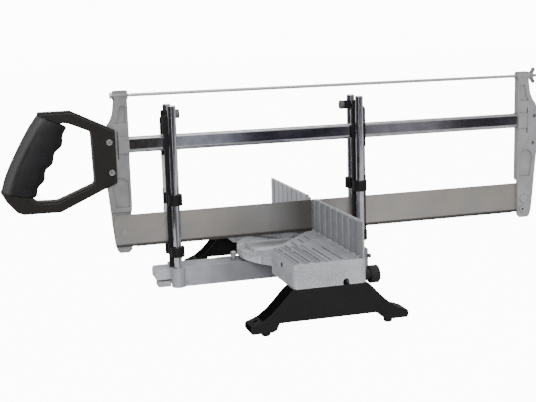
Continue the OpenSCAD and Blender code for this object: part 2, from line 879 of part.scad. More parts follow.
// fixed rest the thumb presses on, a rounded beak on the arm's front end
module thumb_rest() {
  intersection() {
    translate([0, 0, rest_bottom]) linear_extrude(rest_top - rest_bottom)
      rounded_plan(-rest_half, rest_half, -rest_front, -arm_front + arm_corner, beak_round);
    across(0, 2 * rest_half) {
      polygon([[-arm_front + arm_corner, rest_bottom], [-rest_front + beak_round, rest_bottom],
               [-rest_front, rest_bottom + beak_round], [-rest_front, rest_top - beak_round],
               [-rest_front + beak_round, rest_top], [-arm_front + arm_corner, rest_top]]);
      for (z = [rest_bottom + beak_round, rest_top - beak_round])
        translate([-rest_front + beak_round, z]) circle(r = beak_round);
    }
  }
}

module post_set_screws() placed() color([0.1, 0.1, 0.1]) set_screw_spots() difference() {
  seat = 0.3;
  translate([0, 0, seat]) cylinder(r = set_screw_radius, h = set_screw_wall + set_screw_out - seat);
  translate([0, 0, set_screw_wall + set_screw_out - cut]) cylinder(r = set_screw_radius / 2, h = 2 * cut, $fn = 6);
}

module guide_posts() placed() color([0.85, 0.85, 0.87]) post_spots() {
  chamfer = 1;
  translate([0, 0, arm_bottom + post_floor])
    cylinder(r = post_radius, h = post_top - chamfer - arm_bottom - post_floor);
  translate([0, 0, post_top - chamfer]) cylinder(r1 = post_radius, r2 = post_radius - chamfer, h = chamfer);
}

module lever_pin() placed() color([0.65, 0.65, 0.67])
  bar_x(-arm_half, -pin_y, pin_z, pin_radius, 2 * arm_half);

// INDEX LEVER

module index_lever() placed() color([0.55, 0.55, 0.56]) difference() {
  grip_inner = arm_front - arm_wall + 2;
  stem_top = pin_z + pin_radius * 0.6;
  union() {
    // finger plate with a rounded front
    translate([0, 0, lever_bottom]) linear_extrude(lever_top - lever_bottom)
      rounded_plan(-lever_half, lever_half, -lever_front, -grip_inner - 2, 2);
    block([-stem_half, -grip_inner - 4, stem_bottom], [stem_half, -pin_y, lever_top]);
    block([-stem_half, -pin_y, stem_bottom], [stem_half, -stem_inner, stem_top]);
    bar_x(-stem_half, -pin_y, pin_z, pin_radius * 2.2, 2 * stem_half);
    // index tooth
    block([-tooth_width / 2, -stem_inner - tooth_length, stem_bottom],
          [tooth_width / 2, -stem_inner, sector_bottom - tooth_gap]);
    // gusset behind the tooth
    across(0, tooth_width / 2) polygon([
      [-stem_inner - tooth_length + cut, stem_top - cut], [-stem_inner - tooth_length - 10, stem_top - cut],
      [-stem_inner - tooth_length - 10, stem_top], [-stem_inner - tooth_length + cut, stem_top + 9]]);
  }
  bar_x(-stem_half - cut, -pin_y, pin_z, pin_radius + run_gap, 2 * (stem_half + cut));
}

// POINTER

// L-shaped plate on the arm, its tip toward the sector's marks
module index_pointer() placed() color([0.85, 0.86, 0.86]) difference() {
  tip = -sector_radius - pointer_gap;
  shoulder = tip - pointer_screw_back + pointer_width / 2;
  outer = -arm_half + pointer_width / 4;
  translate([0, 0, arm_top]) linear_extrude(pointer_thick)
    polygon([[outer, tip - pointer_length], [outer + pointer_width, tip - pointer_length],
             [outer + pointer_width, shoulder - pointer_width], [pointer_width / 2, shoulder - pointer_width],
             [pointer_width / 2, shoulder], [pointer_width / 8, tip], [-pointer_width / 8, tip],
             [-pointer_width / 2, shoulder], [outer, shoulder]]);
  translate([0, tip - pointer_screw_back, arm_top - cut])
    cylinder(r = pointer_screw_radius + run_gap, h = pointer_thick + 2 * cut);
}

module pointer_screw() placed() color([0.6, 0.6, 0.62])
  translate([0, -sector_radius - pointer_gap - pointer_screw_back, 0]) {
    seat = arm_top + pointer_thick;
    dome = pointer_head_radius * 1.25;
    translate([0, 0, arm_top - arm_roof + cut / 2])
      cylinder(r = pointer_screw_radius, h = arm_roof + pointer_thick);
    difference() {
      intersection() {
        translate([0, 0, seat]) cylinder(r = pointer_head_radius, h = pointer_head_height);
        translate([0, 0, seat + pointer_head_height - dome]) union() {
          sphere(r = dome);
          translate([0, 0, -pointer_head_height]) cylinder(r = dome, h = pointer_head_height);
        }
      }
      translate([0, 0, seat + pointer_head_height])
        cube([3 * pointer_head_radius, tick_width, 2 * cut], center = true);
    }
  }

// GUIDES

// a guide frame about its post pair, with its outer edges at +Y
module guide_frame() {
  bore = post_radius + run_gap;
  narrow_bottom = arm_top + strip_lift;
  half_gap = strip_outer_face + cut / 4;
  difference() {
    union() {
      // wide strip with a shoulder and a rounded top
      across(strip_inner + strip_thick / 2, strip_thick) {
        translate([wide_inner, wide_bottom])
          square([strip_outer - wide_inner, strip_shoulder - wide_bottom]);
        upper_strip();
      }
      across(-strip_inner - strip_thick / 2, strip_thick) {
        translate([narrow_inner, narrow_bottom])
          square([narrow_outer - narrow_inner, strip_shoulder - narrow_bottom]);
        upper_strip();
      }
      guide_collars(wide_bottom, foot_collar_height);
      guide_collars(collar_low, collar_height);
      guide_web(wide_bottom, foot_collar_height);
      guide_web(collar_low, collar_height);
      guide_web(spine_bottom - saddle_gap - saddle_height, saddle_height);
      guide_web(spine_bottom + spine_height + top_gap, top_web);
    }
    both_sides() translate([post_half, 0, narrow_bottom - cut]) cylinder(r = bore, h = post_top);
    // slim relief grooves on the strips' outer edges
    for (z = [wide_bottom + foot_collar_height + 6, collar_low + collar_height + 6])
      both_sides() block([strip_inner + strip_thick / 3, strip_outer - 2.4, z],
                         [half_gap, strip_outer + cut, z + 36]);
  }
}

module upper_strip() {
  round = (strip_outer) / 2;
  translate([0, strip_shoulder - cut]) square([strip_outer, strip_top - round - strip_shoulder + cut]);
  translate([round, strip_top - round]) circle(r = round);
}

module guide_collars(z, height) {
  both_sides() {
    translate([post_half, 0, z]) cylinder(r = collar_radius, h = height);
    block([strip_inner, -post_radius - 1, z], [post_half, post_radius + 1, z + height]);
  }
}

module guide_web(z, height) {
  block([-strip_inner - cut, web_start, z], [strip_inner + cut, web_start + web_length, z + height]);
}

module guide_liners() {
  low = wide_bottom + foot_collar_height + 2;
  saddle = spine_bottom - saddle_gap - saddle_height;
  spans = [[low, collar_low - 0.3], [collar_low + collar_height + 0.3, saddle - 0.3],
           [saddle + saddle_height + 0.1, spine_bottom + spine_height + 0.3]];
  pad_middle = (liner_start + narrow_outer) / 2;
  for (side = [0, 1]) mirror([side, 0, 0]) {
    outer = side == 0 ? strip_outer : narrow_outer;
    for (span = spans)
      block([strip_inner - liner_thick, liner_start, span[0]], [strip_inner, outer - liner_margin, span[1]]);
    // pads that steady the blade
    block([blade_thick / 2 + pad_gap, pad_middle - pad_length / 2, blade_bottom + 8],
          [strip_inner - liner_thick / 2, pad_middle + pad_length / 2, blade_top - 4]);
  }
}

module at_front() {
  placed() translate([0, -post_front, 0]) rotate(180) children();
}

module at_rear() {
  placed() translate([0, post_rear, 0]) children();
}

module front_guide() color([0.09, 0.09, 0.1]) at_front() guide_frame();

module rear_guide() color([0.09, 0.09, 0.1]) at_rear() guide_frame();

module front_liners() color([0.72, 0.73, 0.73]) at_front() guide_liners();

module rear_liners() color([0.72, 0.73, 0.73]) at_rear() guide_liners();

// STOP COLLARS

// a collar on a post at the origin, its screw block towards +Y
module stop_collar() {
  flat = post_half - strip_outer_face - 0.4;
  difference() {
    union() {
      translate([0, 0, stop_bottom]) cylinder(r = stop_radius, h = stop_height);
      block([-stop_block_half, 0, stop_bottom], [stop_block_half, stop_block, stop_bottom + stop_height]);
    }
    translate([0, 0, stop_bottom - cut]) cylinder(r = post_radius + run_gap, h = stop_height + 2 * cut);
    // open side where the guide's strip passes
    block([flat, -stop_radius - cut, stop_bottom - cut],
          [stop_radius + cut, stop_block + cut, stop_bottom + stop_height + cut]);
    bar_y(0, 0, stop_bottom + stop_height / 2, thumb_thread + run_gap, stop_block + cut);
  }
}

module stop_screw() {
  z = stop_bottom + stop_height / 2;
  difference() {
    bar_y(0, stop_block + 0.2, z, thumb_radius, thumb_length);
    for (flute = [0:15])
      translate([0, 0, z]) rotate([0, flute * 22.5, 0])
        bar_y(0, stop_block, -thumb_radius - 0.3, 0.7, thumb_length + cut);
  }
  bar_y(0, post_radius + 0.3, z, thumb_thread, stop_block - post_radius + 1);
}

module at_front_stop() {
  placed() translate([-post_half, -post_front, 0]) children();
}

module at_rear_stop() {
  placed() translate([-post_half, post_rear, 0]) mirror([0, 1, 0]) children();
}

module front_stop_collar() color([0.1, 0.1, 0.1]) at_front_stop() stop_collar();

module rear_stop_collar() color([0.1, 0.1, 0.1]) at_rear_stop() stop_collar();

module front_stop_screw() color([0.7, 0.7, 0.72]) at_front_stop() stop_screw();

module rear_stop_screw() color([0.7, 0.7, 0.72]) at_rear_stop() stop_screw();

// SAW FRAME

// outline of the spine, drawn in by a margin
module spine_outline(inset) {
  round = spine_half - inset;
  for (z = [spine_bottom + spine_half, spine_bottom + spine_height - spine_half])
    translate([0, z]) circle(r = round);
  translate([-round, spine_bottom + spine_half]) square([2 * round, spine_height - 2 * spine_half]);
}

module spine_tube() placed() color([0.85, 0.85, 0.87])
  lengthwise(-near_face - socket_depth, near_face + far_face + 2 * socket_depth) difference() {
    spine_outline(0);
    spine_outline(spine_wall);
  }

// turns shares of a casting's reach and height into points, from its inner face and its bottom
function casting_points(shares) =
  [for (share = shares)
    [share[0] * lug_out, casting_bottom + share[1] * (casting_top - casting_bottom)]];

casting_shares = [
  [-0.012, 1], [0.41, 1], [0.44, 0.929], [0.5, 0.858], [0.59, 0.818], [0.71, 0.791], [0.88, 0.735],
  [0.97, 0.684], [1, 0.632], [0.988, 0.55], [0.913, 0.489], [0.81, 0.443], [0.77, 0.376], [0.72, 0.274],
  [0.68, 0.177], [0.61, 0.051], [0.54, 0.012], [0.47, 0], [0.145, 0], [0.041, 0.019], [0.017, 0.239],
  [-0.006, 0.31], [0, 0.591], [-0.017, 0.745]];
upper_panel_shares = [[0.075, 0.908], [0.25, 0.908], [0.34, 0.841], [0.44, 0.804], [0.075, 0.804]];
lower_panel_shares = [
  [0.075, 0.287], [0.54, 0.287], [0.63, 0.412], [0.56, 0.453], [0.42, 0.473], [0.22, 0.468], [0.075, 0.448]];
handle_screw_shares = [[0.69, 0.697], [0.65, 0.513]];

module casting_outline() {
  polygon(casting_points(casting_shares));
}

// panels sunk in both faces of a casting
module casting_panels() {
  polygon(casting_points(upper_panel_shares));
  polygon(casting_points(lower_panel_shares));
}

// an end casting with its inner face at Y 0, reaching out towards +Y, the blade on its -X side
module end_casting() {
  lap_top = blade_top + 4.5;
  difference() {
    union() {
      across(0, 2 * casting_half) casting_outline();
      // thicker socket for the spine, rounded above and below
      intersection() {
        across(0, 2 * socket_half)
          translate([-cut / 4, spine_bottom - 3]) square([socket_depth + 2.4, spine_height + 6]);
        lengthwise(-cut, socket_depth + 6) {
          for (z = [spine_bottom + spine_half, spine_bottom + spine_height - spine_half])
            translate([0, z]) circle(r = socket_half);
          translate([-socket_half, spine_bottom]) square([2 * socket_half, spine_height]);
        }
      }
      // bosses of the blade pin and of the spare hole below it
      bar_x(casting_half - cut, blade_pin_out, blade_pin_z, blade_pin_radius * 2.7, cut + pin_boss_rise);
      bar_x(casting_half - cut, spare_hole_out, blade_pin_z - spare_hole_drop, blade_pin_radius * 2.2,
            cut + pin_boss_rise);
      // boss for the tension rod
      bar_y(0, -rod_boss_back, rod_z, rod_radius * 2.7, rod_boss_back + rod_boss_front);
    }
    lengthwise(-cut - 1, socket_depth + cut + 1) spine_outline(0);
    bar_y(0, -2 * cut, rod_z, rod_hole, rod_boss_front + 4);
    // half of the thickness cut away for the blade
    block([-casting_half - cut, -2, casting_bottom - 2], [blade_thick / 2, lug_out, lap_top]);
    bar_x(-casting_half, blade_pin_out, blade_pin_z, blade_pin_radius, 2 * casting_half + cut);
    bar_x(0, spare_hole_out, blade_pin_z - spare_hole_drop, blade_pin_radius * 0.8, 2 * casting_half);
    both_sides() across(casting_half + cut / 2 - panel_depth / 2, panel_depth + cut) casting_panels();
    // deep groove that ends the spine socket
    both_sides() block([casting_half - 2 * panel_depth, socket_depth + panel_depth, spine_bottom - socket_half],
                       [socket_half + cut, socket_depth + 3, spine_bottom + spine_height + socket_half]);
    for (spot = handle_screw_spots())
      bar_x(-casting_half - cut, spot[0], spot[1], handle_screw_radius + run_gap, 2 * (casting_half + cut));
  }
}

// handle screws, out from the casting's inner face and up
function handle_screw_spots() = casting_points(handle_screw_shares);

module at_near_end() {
  placed() translate([0, -near_face, 0]) rotate(180) children();
}

module at_far_end() {
  placed() translate([0, far_face, 0]) children();
}

module handle_casting() color([0.6, 0.6, 0.61]) at_near_end() end_casting();

module far_casting() color([0.6, 0.6, 0.61]) at_far_end() end_casting();

module blade() placed() color([0.55, 0.54, 0.53]) difference() {
  gums = blade_bottom + tooth_depth;
  count = floor((near_face + far_face - 8) / tooth_pitch);
  first = -near_face + 4;
  teeth = [for (tooth = [0:count - 1])
             for (side = [0, 1])
               [first + (tooth + side * 0.96) * tooth_pitch, side == 0 ? gums : blade_bottom]];
  across(0, blade_thick) polygon(concat(
    [[-blade_near + blade_slope, blade_top], [-blade_near, blade_top - blade_corner],
     [-blade_near + blade_slope, gums]],
    teeth,
    [[first + count * tooth_pitch, gums], [blade_far - blade_slope, gums], [blade_far, blade_top - blade_corner],
     [blade_far - blade_slope, blade_top]]));
  for (y = [-near_face - blade_pin_out, far_face + blade_pin_out])
    bar_x(-cut, y, blade_pin_z, blade_pin_radius, 2 * cut);
}

// a pin with its head against the blade's free face, at X of the blade's middle
module blade_pin() {
  skin = blade_thick / 2;
  bar_x(-skin - blade_pin_rise, blade_pin_out, blade_pin_z, blade_pin_head, blade_pin_rise);
  bar_x(-skin - cut / 2, blade_pin_out, blade_pin_z, blade_pin_radius, casting_half + skin + cut / 2);
}

module blade_pins() color([0.45, 0.45, 0.46]) {
  at_near_end() blade_pin();
  at_far_end() blade_pin();
}

module tension_rod() placed() color([0.68, 0.69, 0.7]) {
  start = -near_face - rod_boss_front;
  bar_y(0, start - rod_head, rod_z, rod_radius * 1.8, rod_head);
  bar_y(0, start - cut / 2, rod_z, rod_radius, far_face + rod_boss_front + rod_tail - start);
}

module rod_washer() placed() color([0.68, 0.69, 0.7]) difference() {
  bar_y(0, far_face + rod_boss_front, rod_z, rod_radius * 2.2, rod_washer_thick);
  bar_y(0, far_face + rod_boss_front - 1, rod_z, rod_hole, rod_washer_thick + 2);
}

// wing nut, its two wings spread away from the casting
module wing_nut() placed() color([0.68, 0.69, 0.7]) {
  start = far_face + rod_boss_front + rod_washer_thick + wing_gap;
  difference() {
    union() {
      translate([0, start, rod_z]) rotate([-90, 0, 0])
        cylinder(r1 = wing_hub, r2 = wing_hub * 0.8, h = wing_length);
      across(0, wing_thick) for (side = [-1, 1]) wing(start, side);
    }
    bar_y(0, start - cut, rod_z, rod_hole, wing_length + wing_reach);
  }
}

module wing(start, side) {
  tip = wing_reach - wing_thick;
  out = start + wing_length + 1;
  polygon([[start + 0.6, rod_z + side * wing_hub * 0.5], [start + 1, rod_z + side * wing_hub],
           [out - wing_thick, rod_z + side * (tip + wing_thick * 0.6)], [out + wing_thick * 0.7, rod_z + side * tip],
           [start + wing_length - 0.6, rod_z + side * wing_hub * 0.5]]);
  translate([out - wing_thick * 0.3, rod_z + side * tip]) circle(r = wing_thick);
}

// HANDLE

// turns shares of the handle's reach and height into points, from its inner face and its bottom
function handle_points(shares) =
  [for (share = shares)
    [-frame_inner - share[0] * (frame_heel - frame_inner),
     frame_bottom + share[1] * (frame_top - frame_bottom)]];

outer_edge_shares = [
  [0.994, 0.249], [0.972, 0.344], [0.928, 0.46], [0.864, 0.587], [0.791, 0.724], [0.72, 0.851],
  [0.652, 0.97]];
finger_edge_shares = [
  [0.737, 0.164], [0.68, 0.257], [0.632, 0.372], [0.571, 0.503], [0.504, 0.643], [0.462, 0.772],
  [0.469, 0.88]];
frame_shares = [
  [0.647, 1], [0.368, 1], [0, 0.791], [0, 0.258], [0.504, 0], [0.818, 0.003], [0.873, 0.027],
  [0.957, 0.14], [1, 0.235], [0.996, 0.246], [0.937, 0.273], [0.623, 0.921], [0.652, 0.974]];
opening_shares = [
  [0.504, 0.87], [0.447, 0.889], [0.399, 0.88], [0.214, 0.79], [0.204, 0.756], [0.194, 0.285],
  [0.209, 0.257], [0.498, 0.126], [0.531, 0.115], [0.694, 0.12], [0.732, 0.153], [0.765, 0.179]];
grip_steps = 30;

// point on a smooth curve through a list of points, t from 0 to 1
function on_curve(points, t) =
  let (last = len(points) - 1,
       i = min(floor(t * last), last - 1),
       u = t * last - i,
       a = points[max(i - 1, 0)], b = points[i], c = points[i + 1], d = points[min(i + 2, last)])
    (2 * b + (c - a) * u + (2 * a - 5 * b + 4 * c - d) * u * u + (3 * b - a - 3 * c + d) * u * u * u) / 2;

function grip_outer() =
  let (points = handle_points(outer_edge_shares))
    [for (i = [0:grip_steps]) on_curve(points, i / grip_steps)];

// edge beside the fingers, with a hollow for each finger
function grip_finger() =
  let (points = handle_points(finger_edge_shares))
    [for (i = [0:grip_steps])
      let (t = i / grip_steps, wave = finger_wave * cos(t * 360 * finger_count))
        on_curve(points, t) + [wave, -wave / 2]];

module frame_outline() {
  polygon(handle_points(frame_shares));
}

module finger_opening() {
  polygon(handle_points(opening_shares));
}

// bar of the handle frame hidden in the grip, a share of the grip's width
module core_outline(share) {
  from = grip_outer();
  to = grip_finger();
  low = (1 - share) / 2;
  polygon(concat(
    [for (i = [0:len(from) - 1]) from[i] + (to[i] - from[i]) * low],
    [for (i = [len(from) - 1:-1:0]) from[i] + (to[i] - from[i]) * (1 - low)]));
}

module grip_region() {
  polygon(concat(grip_outer(), [for (i = [len(grip_finger()) - 1:-1:0]) grip_finger()[i]]));
}

module handle_frame() placed() color([0.13, 0.12, 0.11]) difference() {
  bevel = 2.4;
  union() {
    across(0, 2 * (frame_half - bevel)) difference() {
      frame_outline();
      finger_opening();
      grip_region();
    }
    // slimmer outer layer with its edges drawn in
    across(0, 2 * frame_half) difference() {
      intersection() {
        translate([-bevel, 0]) frame_outline();
        translate([bevel, 0]) frame_outline();
        translate([0, -bevel]) frame_outline();
        translate([0, bevel]) frame_outline();
      }
      translate([0, -bevel]) finger_opening();
      finger_opening();
      translate([0, bevel]) finger_opening();
      grip_region();
      translate([-bevel, 0]) grip_region();
      translate([bevel, 0]) grip_region();
    }
    // middle layer, with the core that runs on through the grip
    across(0, 2 * core_half) difference() {
      frame_outline();
      finger_opening();
      difference() {
        grip_region();
        core_outline(core_share);
      }
    }
  }
  // slot for the end casting
  block([-casting_half - run_gap, -near_face - lug_out - 0.6, frame_bottom - cut],
        [casting_half + run_gap, -near_face, frame_top + cut]);
  for (spot = handle_screw_spots()) {
    y = -near_face - spot[0];
    bar_x(-frame_half - cut, y, spot[1], handle_screw_radius + run_gap, 2 * (frame_half + cut));
  }
}

// soft grip, an oval section carried along the handle between its two edges
module grip() placed() color([0.15, 0.15, 0.17]) difference() {
  from = grip_outer();
  to = grip_finger();
  ring = 20;
  count = len(from);
  points = [for (i = [0:count - 1])
              for (k = [0:ring - 1])
                let (mid = (from[i] + to[i]) / 2,
                     side = (to[i] - from[i]) / 2 * cos(k * 360 / ring),
                     depth = sin(k * 360 / ring),
                     wide = sign(depth) * pow(abs(depth), 0.8) * grip_half)
                  [wide, mid[0] + side[0], mid[1] + side[1]]];
  walls = [for (i = [0:count - 2])
             for (k = [0:ring - 1])
               [i * ring + k, i * ring + (k + 1) % ring, (i + 1) * ring + (k + 1) % ring, (i + 1) * ring + k]];
  low_cap = [[for (k = [ring - 1:-1:0]) k]];
  high_cap = [[for (k = [0:ring - 1]) (count - 1) * ring + k]];
  polyhedron(points = points, faces = concat(walls, low_cap, high_cap));
  across(0, 2 * core_half) core_outline(core_share);
}

module handle_screws() placed() color([0.68, 0.69, 0.7])
  for (spot = handle_screw_spots()) {
    y = -near_face - spot[0];
    rise = 2;
    slot = handle_screw_radius * 0.4;
    difference() {
      union() {
        bar_x(-frame_half - rise, y, spot[1], handle_screw_radius, 2 * (frame_half + rise));
        bar_x(frame_half, y, spot[1], handle_screw_head, rise);
      }
      translate([frame_half + rise, y, spot[1]]) rotate([45, 0, 0]) {
        cube([rise, handle_screw_head * 1.4, slot], center = true);
        cube([rise, slot, handle_screw_head * 1.4], center = true);
      }
    }
    translate([-frame_half, y, spot[1]]) rotate([0, -90, 0])
      cylinder(r = handle_screw_head, h = rise, $fn = 6);
  }

// LOCK KNOB

module lock_knob() placed() color([0.08, 0.08, 0.08]) difference() {
  union() {
    bar_y(knob_x, knob_start, knob_z, knob_neck, knob_head_start - knob_start + cut);
    bar_y(knob_x, knob_head_start, knob_z, knob_radius, knob_end - knob_head_start - 1);
    translate([knob_x, knob_end - 1, knob_z]) rotate([-90, 0, 0])
      cylinder(r1 = knob_radius, r2 = knob_radius - 1, h = 1);
  }
  for (flute = [0:knob_flutes - 1])
    translate([knob_x, 0, knob_z]) rotate([0, flute * 360 / knob_flutes, 0])
      bar_y(0, knob_head_start - cut, knob_radius + 0.4, 1, knob_end);
  bar_y(knob_x, knob_start - cut, knob_z, stud_radius, knob_head_start - knob_start + cut);
}

module lock_stud() placed() color([0.65, 0.65, 0.67])
  bar_y(knob_x, -rod_slot_y + rod_slot_width / 2 + 1, knob_z, stud_radius,
        knob_head_start + rod_slot_y - rod_slot_width / 2 - 1);

bed_casting();
left_foot();
right_foot();
foot_pads();
foot_screws();
pivot_bolt();
pivot_washer();
swing_arm();
post_set_screws();
guide_posts();
lever_pin();
index_pointer();
pointer_screw();
index_lever();
front_guide();
front_liners();
rear_guide();
rear_liners();
front_stop_collar();
rear_stop_collar();
front_stop_screw();
rear_stop_screw();
spine_tube();
handle_casting();
far_casting();
blade();
blade_pins();
tension_rod();
rod_washer();
wing_nut();
handle_frame();
grip();
handle_screws();
lock_knob();
lock_stud();
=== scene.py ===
import math

import bpy
import numpy as np
from mathutils import Matrix, Vector


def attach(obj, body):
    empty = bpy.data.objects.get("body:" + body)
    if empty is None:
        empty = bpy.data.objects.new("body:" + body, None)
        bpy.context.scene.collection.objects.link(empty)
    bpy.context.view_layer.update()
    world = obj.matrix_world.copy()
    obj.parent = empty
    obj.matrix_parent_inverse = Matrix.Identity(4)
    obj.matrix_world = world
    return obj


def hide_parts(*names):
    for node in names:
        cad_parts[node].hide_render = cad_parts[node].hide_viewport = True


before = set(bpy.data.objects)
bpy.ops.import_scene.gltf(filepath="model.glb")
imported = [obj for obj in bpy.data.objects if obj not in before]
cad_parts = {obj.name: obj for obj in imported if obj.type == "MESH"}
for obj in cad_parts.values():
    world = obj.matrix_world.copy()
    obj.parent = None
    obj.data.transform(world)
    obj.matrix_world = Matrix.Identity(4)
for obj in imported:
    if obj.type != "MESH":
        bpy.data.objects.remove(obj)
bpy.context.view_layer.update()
print("mitre saw: frame loaded")

pivotShift = 0.0252  # the swing pivot lies this far along Y from the shared origin


# shader maths

class Wire:
    # an output socket that shader expressions are written with, and the tree it is in
    def __init__(self, home, socket):
        self.home = home
        self.socket = socket

    def __add__(self, other):
        return self.home.maths("ADD", self, other)

    def __radd__(self, other):
        return self.home.maths("ADD", other, self)

    def __sub__(self, other):
        return self.home.maths("SUBTRACT", self, other)

    def __rsub__(self, other):
        return self.home.maths("SUBTRACT", other, self)

    def __mul__(self, other):
        return self.home.maths("MULTIPLY", self, other)

    def __rmul__(self, other):
        return self.home.maths("MULTIPLY", other, self)

    def __truediv__(self, other):
        return self.home.maths("DIVIDE", self, other)

    def __pow__(self, other):
        return self.home.maths("POWER", self, other)


class Tree:
    # short ways to add nodes to one node tree
    def __init__(self, tree):
        self.tree = tree
        self.tree.nodes.clear()

    def plug(self, socket, value):
        if isinstance(value, Wire):
            self.tree.links.new(value.socket, socket)
        elif isinstance(value, tuple) and len(value) == 3 and socket.type == "RGBA":
            socket.default_value = (*value, 1.0)
        else:
            socket.default_value = value

    def node(self, kind, settings, inputs, output=0):
        # adds a node: its settings first, then its sockets; returns one output as a Wire, or the node
        made = self.tree.nodes.new(kind)
        for key, value in settings.items():
            setattr(made, key, value)
        for key, value in inputs.items():
            self.plug(made.inputs[key], value)
        return made if output is None else Wire(self, made.outputs[output])

    def maths(self, operation, a, b, clamp=False):
        return self.node("ShaderNodeMath", {"operation": operation, "use_clamp": clamp}, {0: a, 1: b})

    def clamp(self, value):
        return self.maths("ADD", value, 0.0, True)

    def size(self, value):
        # the value without its sign
        return self.maths("ABSOLUTE", value, 0.0)

    def part(self, value):
        # what is left of a value above its whole number
        return self.maths("FRACT", value, 0.0)

    def band(self, value, low, high):
        # 0 at low, 1 at high, straight between them and level outside
        return self.node("ShaderNodeMapRange", {}, {"Value": value, "From Min": low, "From Max": high})

    def mix(self, factor, a, b):
        # sockets 6 and 7 take the two colours, and output 2 gives their mix
        return self.node("ShaderNodeMix", {"data_type": "RGBA"}, {"Factor": factor, 6: a, 7: b}, 2)

    def ramp(self, value, stops):
        made = self.node("ShaderNodeValToRGB", {}, {"Fac": value}, None)
        elements = made.color_ramp.elements
        while len(elements) < len(stops):
            elements.new(0.5)
        for element, (position, colour) in zip(elements, stops):
            element.position = position
            element.color = (*colour, 1.0)
        return Wire(self, made.outputs["Color"])


class Shade(Tree):
    # one material with its Principled shader
    def __init__(self, name, roughness, metallic=0.0, specular=0.5):
        self.material = bpy.data.materials.new(name)
        self.material.use_nodes = True
        super().__init__(self.material.node_tree)
        self.surface = self.node("ShaderNodeBsdfPrincipled", {}, {
            "Metallic": metallic, "Roughness": roughness, "Specular IOR Level": specular}, None)
        self.output = self.node("ShaderNodeOutputMaterial", {}, {}, None)
        self.tree.links.new(self.surface.outputs[0], self.output.inputs["Surface"])
        self.place = self.node("ShaderNodeTexCoord", {}, {}, "Object")
        parts = self.node("ShaderNodeSeparateXYZ", {}, {"Vector": self.place}, None)
        self.x, self.y, self.z = [Wire(self, socket) for socket in parts.outputs]

    def noise(self, scale, detail, roughness, vector=None):
        return self.node("ShaderNodeTexNoise", {}, {"Vector": vector or self.place, "Scale": scale,
                                                    "Detail": detail, "Roughness": roughness})

    def stretched(self, factors):
        # the object's coordinates scaled along each axis
        return self.node("ShaderNodeVectorMath", {"operation": "MULTIPLY"}, {0: self.place, 1: factors})

    def paint(self, colour, roughness=None):
        self.plug(self.surface.inputs["Base Color"], colour)
        if roughness is not None:
            self.plug(self.surface.inputs["Roughness"], roughness)

    def blend(self, kind, inputs, share):
        # lays another shader over the surface where share is above 0
        over = self.node(kind, {}, inputs, None)
        both = self.node("ShaderNodeMixShader", {}, {"Fac": share}, None)
        self.tree.links.new(self.surface.outputs[0], both.inputs[1])
        self.tree.links.new(over.outputs[0], both.inputs[2])
        self.tree.links.new(both.outputs[0], self.output.inputs["Surface"])

    def relief(self, height, strength, distance, edge):
        # a bump over edges that the Bevel node rounds off
        rounded = self.node("ShaderNodeBevel", {"samples": 4}, {"Radius": edge})
        bump = self.node("ShaderNodeBump", {}, {"Strength": strength, "Distance": distance,
                                                "Height": height, "Normal": rounded})
        self.plug(self.surface.inputs["Normal"], bump)


def wearAndHighlight(shade, edge=0.0009):
    # 1 on edges and 0 on flats, from how far the Bevel node turns the normal
    # edges painted paler with this mask are partly wear, partly painted highlights
    rounded = shade.node("ShaderNodeBevel", {"samples": 4}, {"Radius": edge})
    flat = shade.node("ShaderNodeNewGeometry", {}, {}, "Normal")
    dot = shade.node("ShaderNodeVectorMath", {"operation": "DOT_PRODUCT"}, {0: rounded, 1: flat}, "Value")
    return shade.band(1.0 - dot, 0.02, 0.25)


def occlusionShade(shade, reach=0.004, full=0.65):
    # 1 deep in corners and grooves, 0 in the open: the mask for painted shade
    opened = shade.node("ShaderNodeAmbientOcclusion", {"samples": 6}, {"Distance": reach}, "AO")
    return shade.band(1.0 - opened, 0.10, full)


# materials

# the casting's colours, painted glints, shade and highlights among them
castFinish = {"light": (0.49, 0.5, 0.535), "dark": (0.33, 0.34, 0.366), "glint": (0.80, 0.81, 0.81),
              "shaded": (0.15, 0.153, 0.167), "pit": (0.20, 0.205, 0.21), "groove": (0.10, 0.101, 0.106),
              "edge": (0.86, 0.87, 0.922), "bore": (0.008, 0.008, 0.009)}
# where its parts begin and end, in metres: each mask goes from 0 at the first place to 1 at the second;
# the two named Square are squares of the distance from the swing pivot and from a stop hole's axis
castPlaces = {"fenceFootZ": (0.0800, 0.0822), "fenceFaceY": (0.0280, 0.0268), "farHalfX": (0.0, -0.02),
              "tableTopZ": (0.0785, 0.0790), "sectorY": (-0.0552, -0.0562), "rimZ": (0.0610, 0.0575),
              "sectorSquare": (0.0180, 0.0170), "boreSquare": (0.0000104, 0.0000092),
              "kerfX": (0.017, 0.005), "kerfY": (-0.085, -0.035), "kerfZ": (0.0793, 0.0785),
              "fenceShadeY": (-0.050, 0.006), "groovesX": (0.078, 0.084), "groovesY": (-0.0125, -0.0145)}
# what repeats on it, as its first place and its step, and the middle of a stop hole
castPattern = {"firstRib": 0.0265, "ribStep": 0.0196, "firstGroove": -0.071, "grooveStep": 0.0125,
               "holeX": 0.1287, "holeZ": 0.0703}


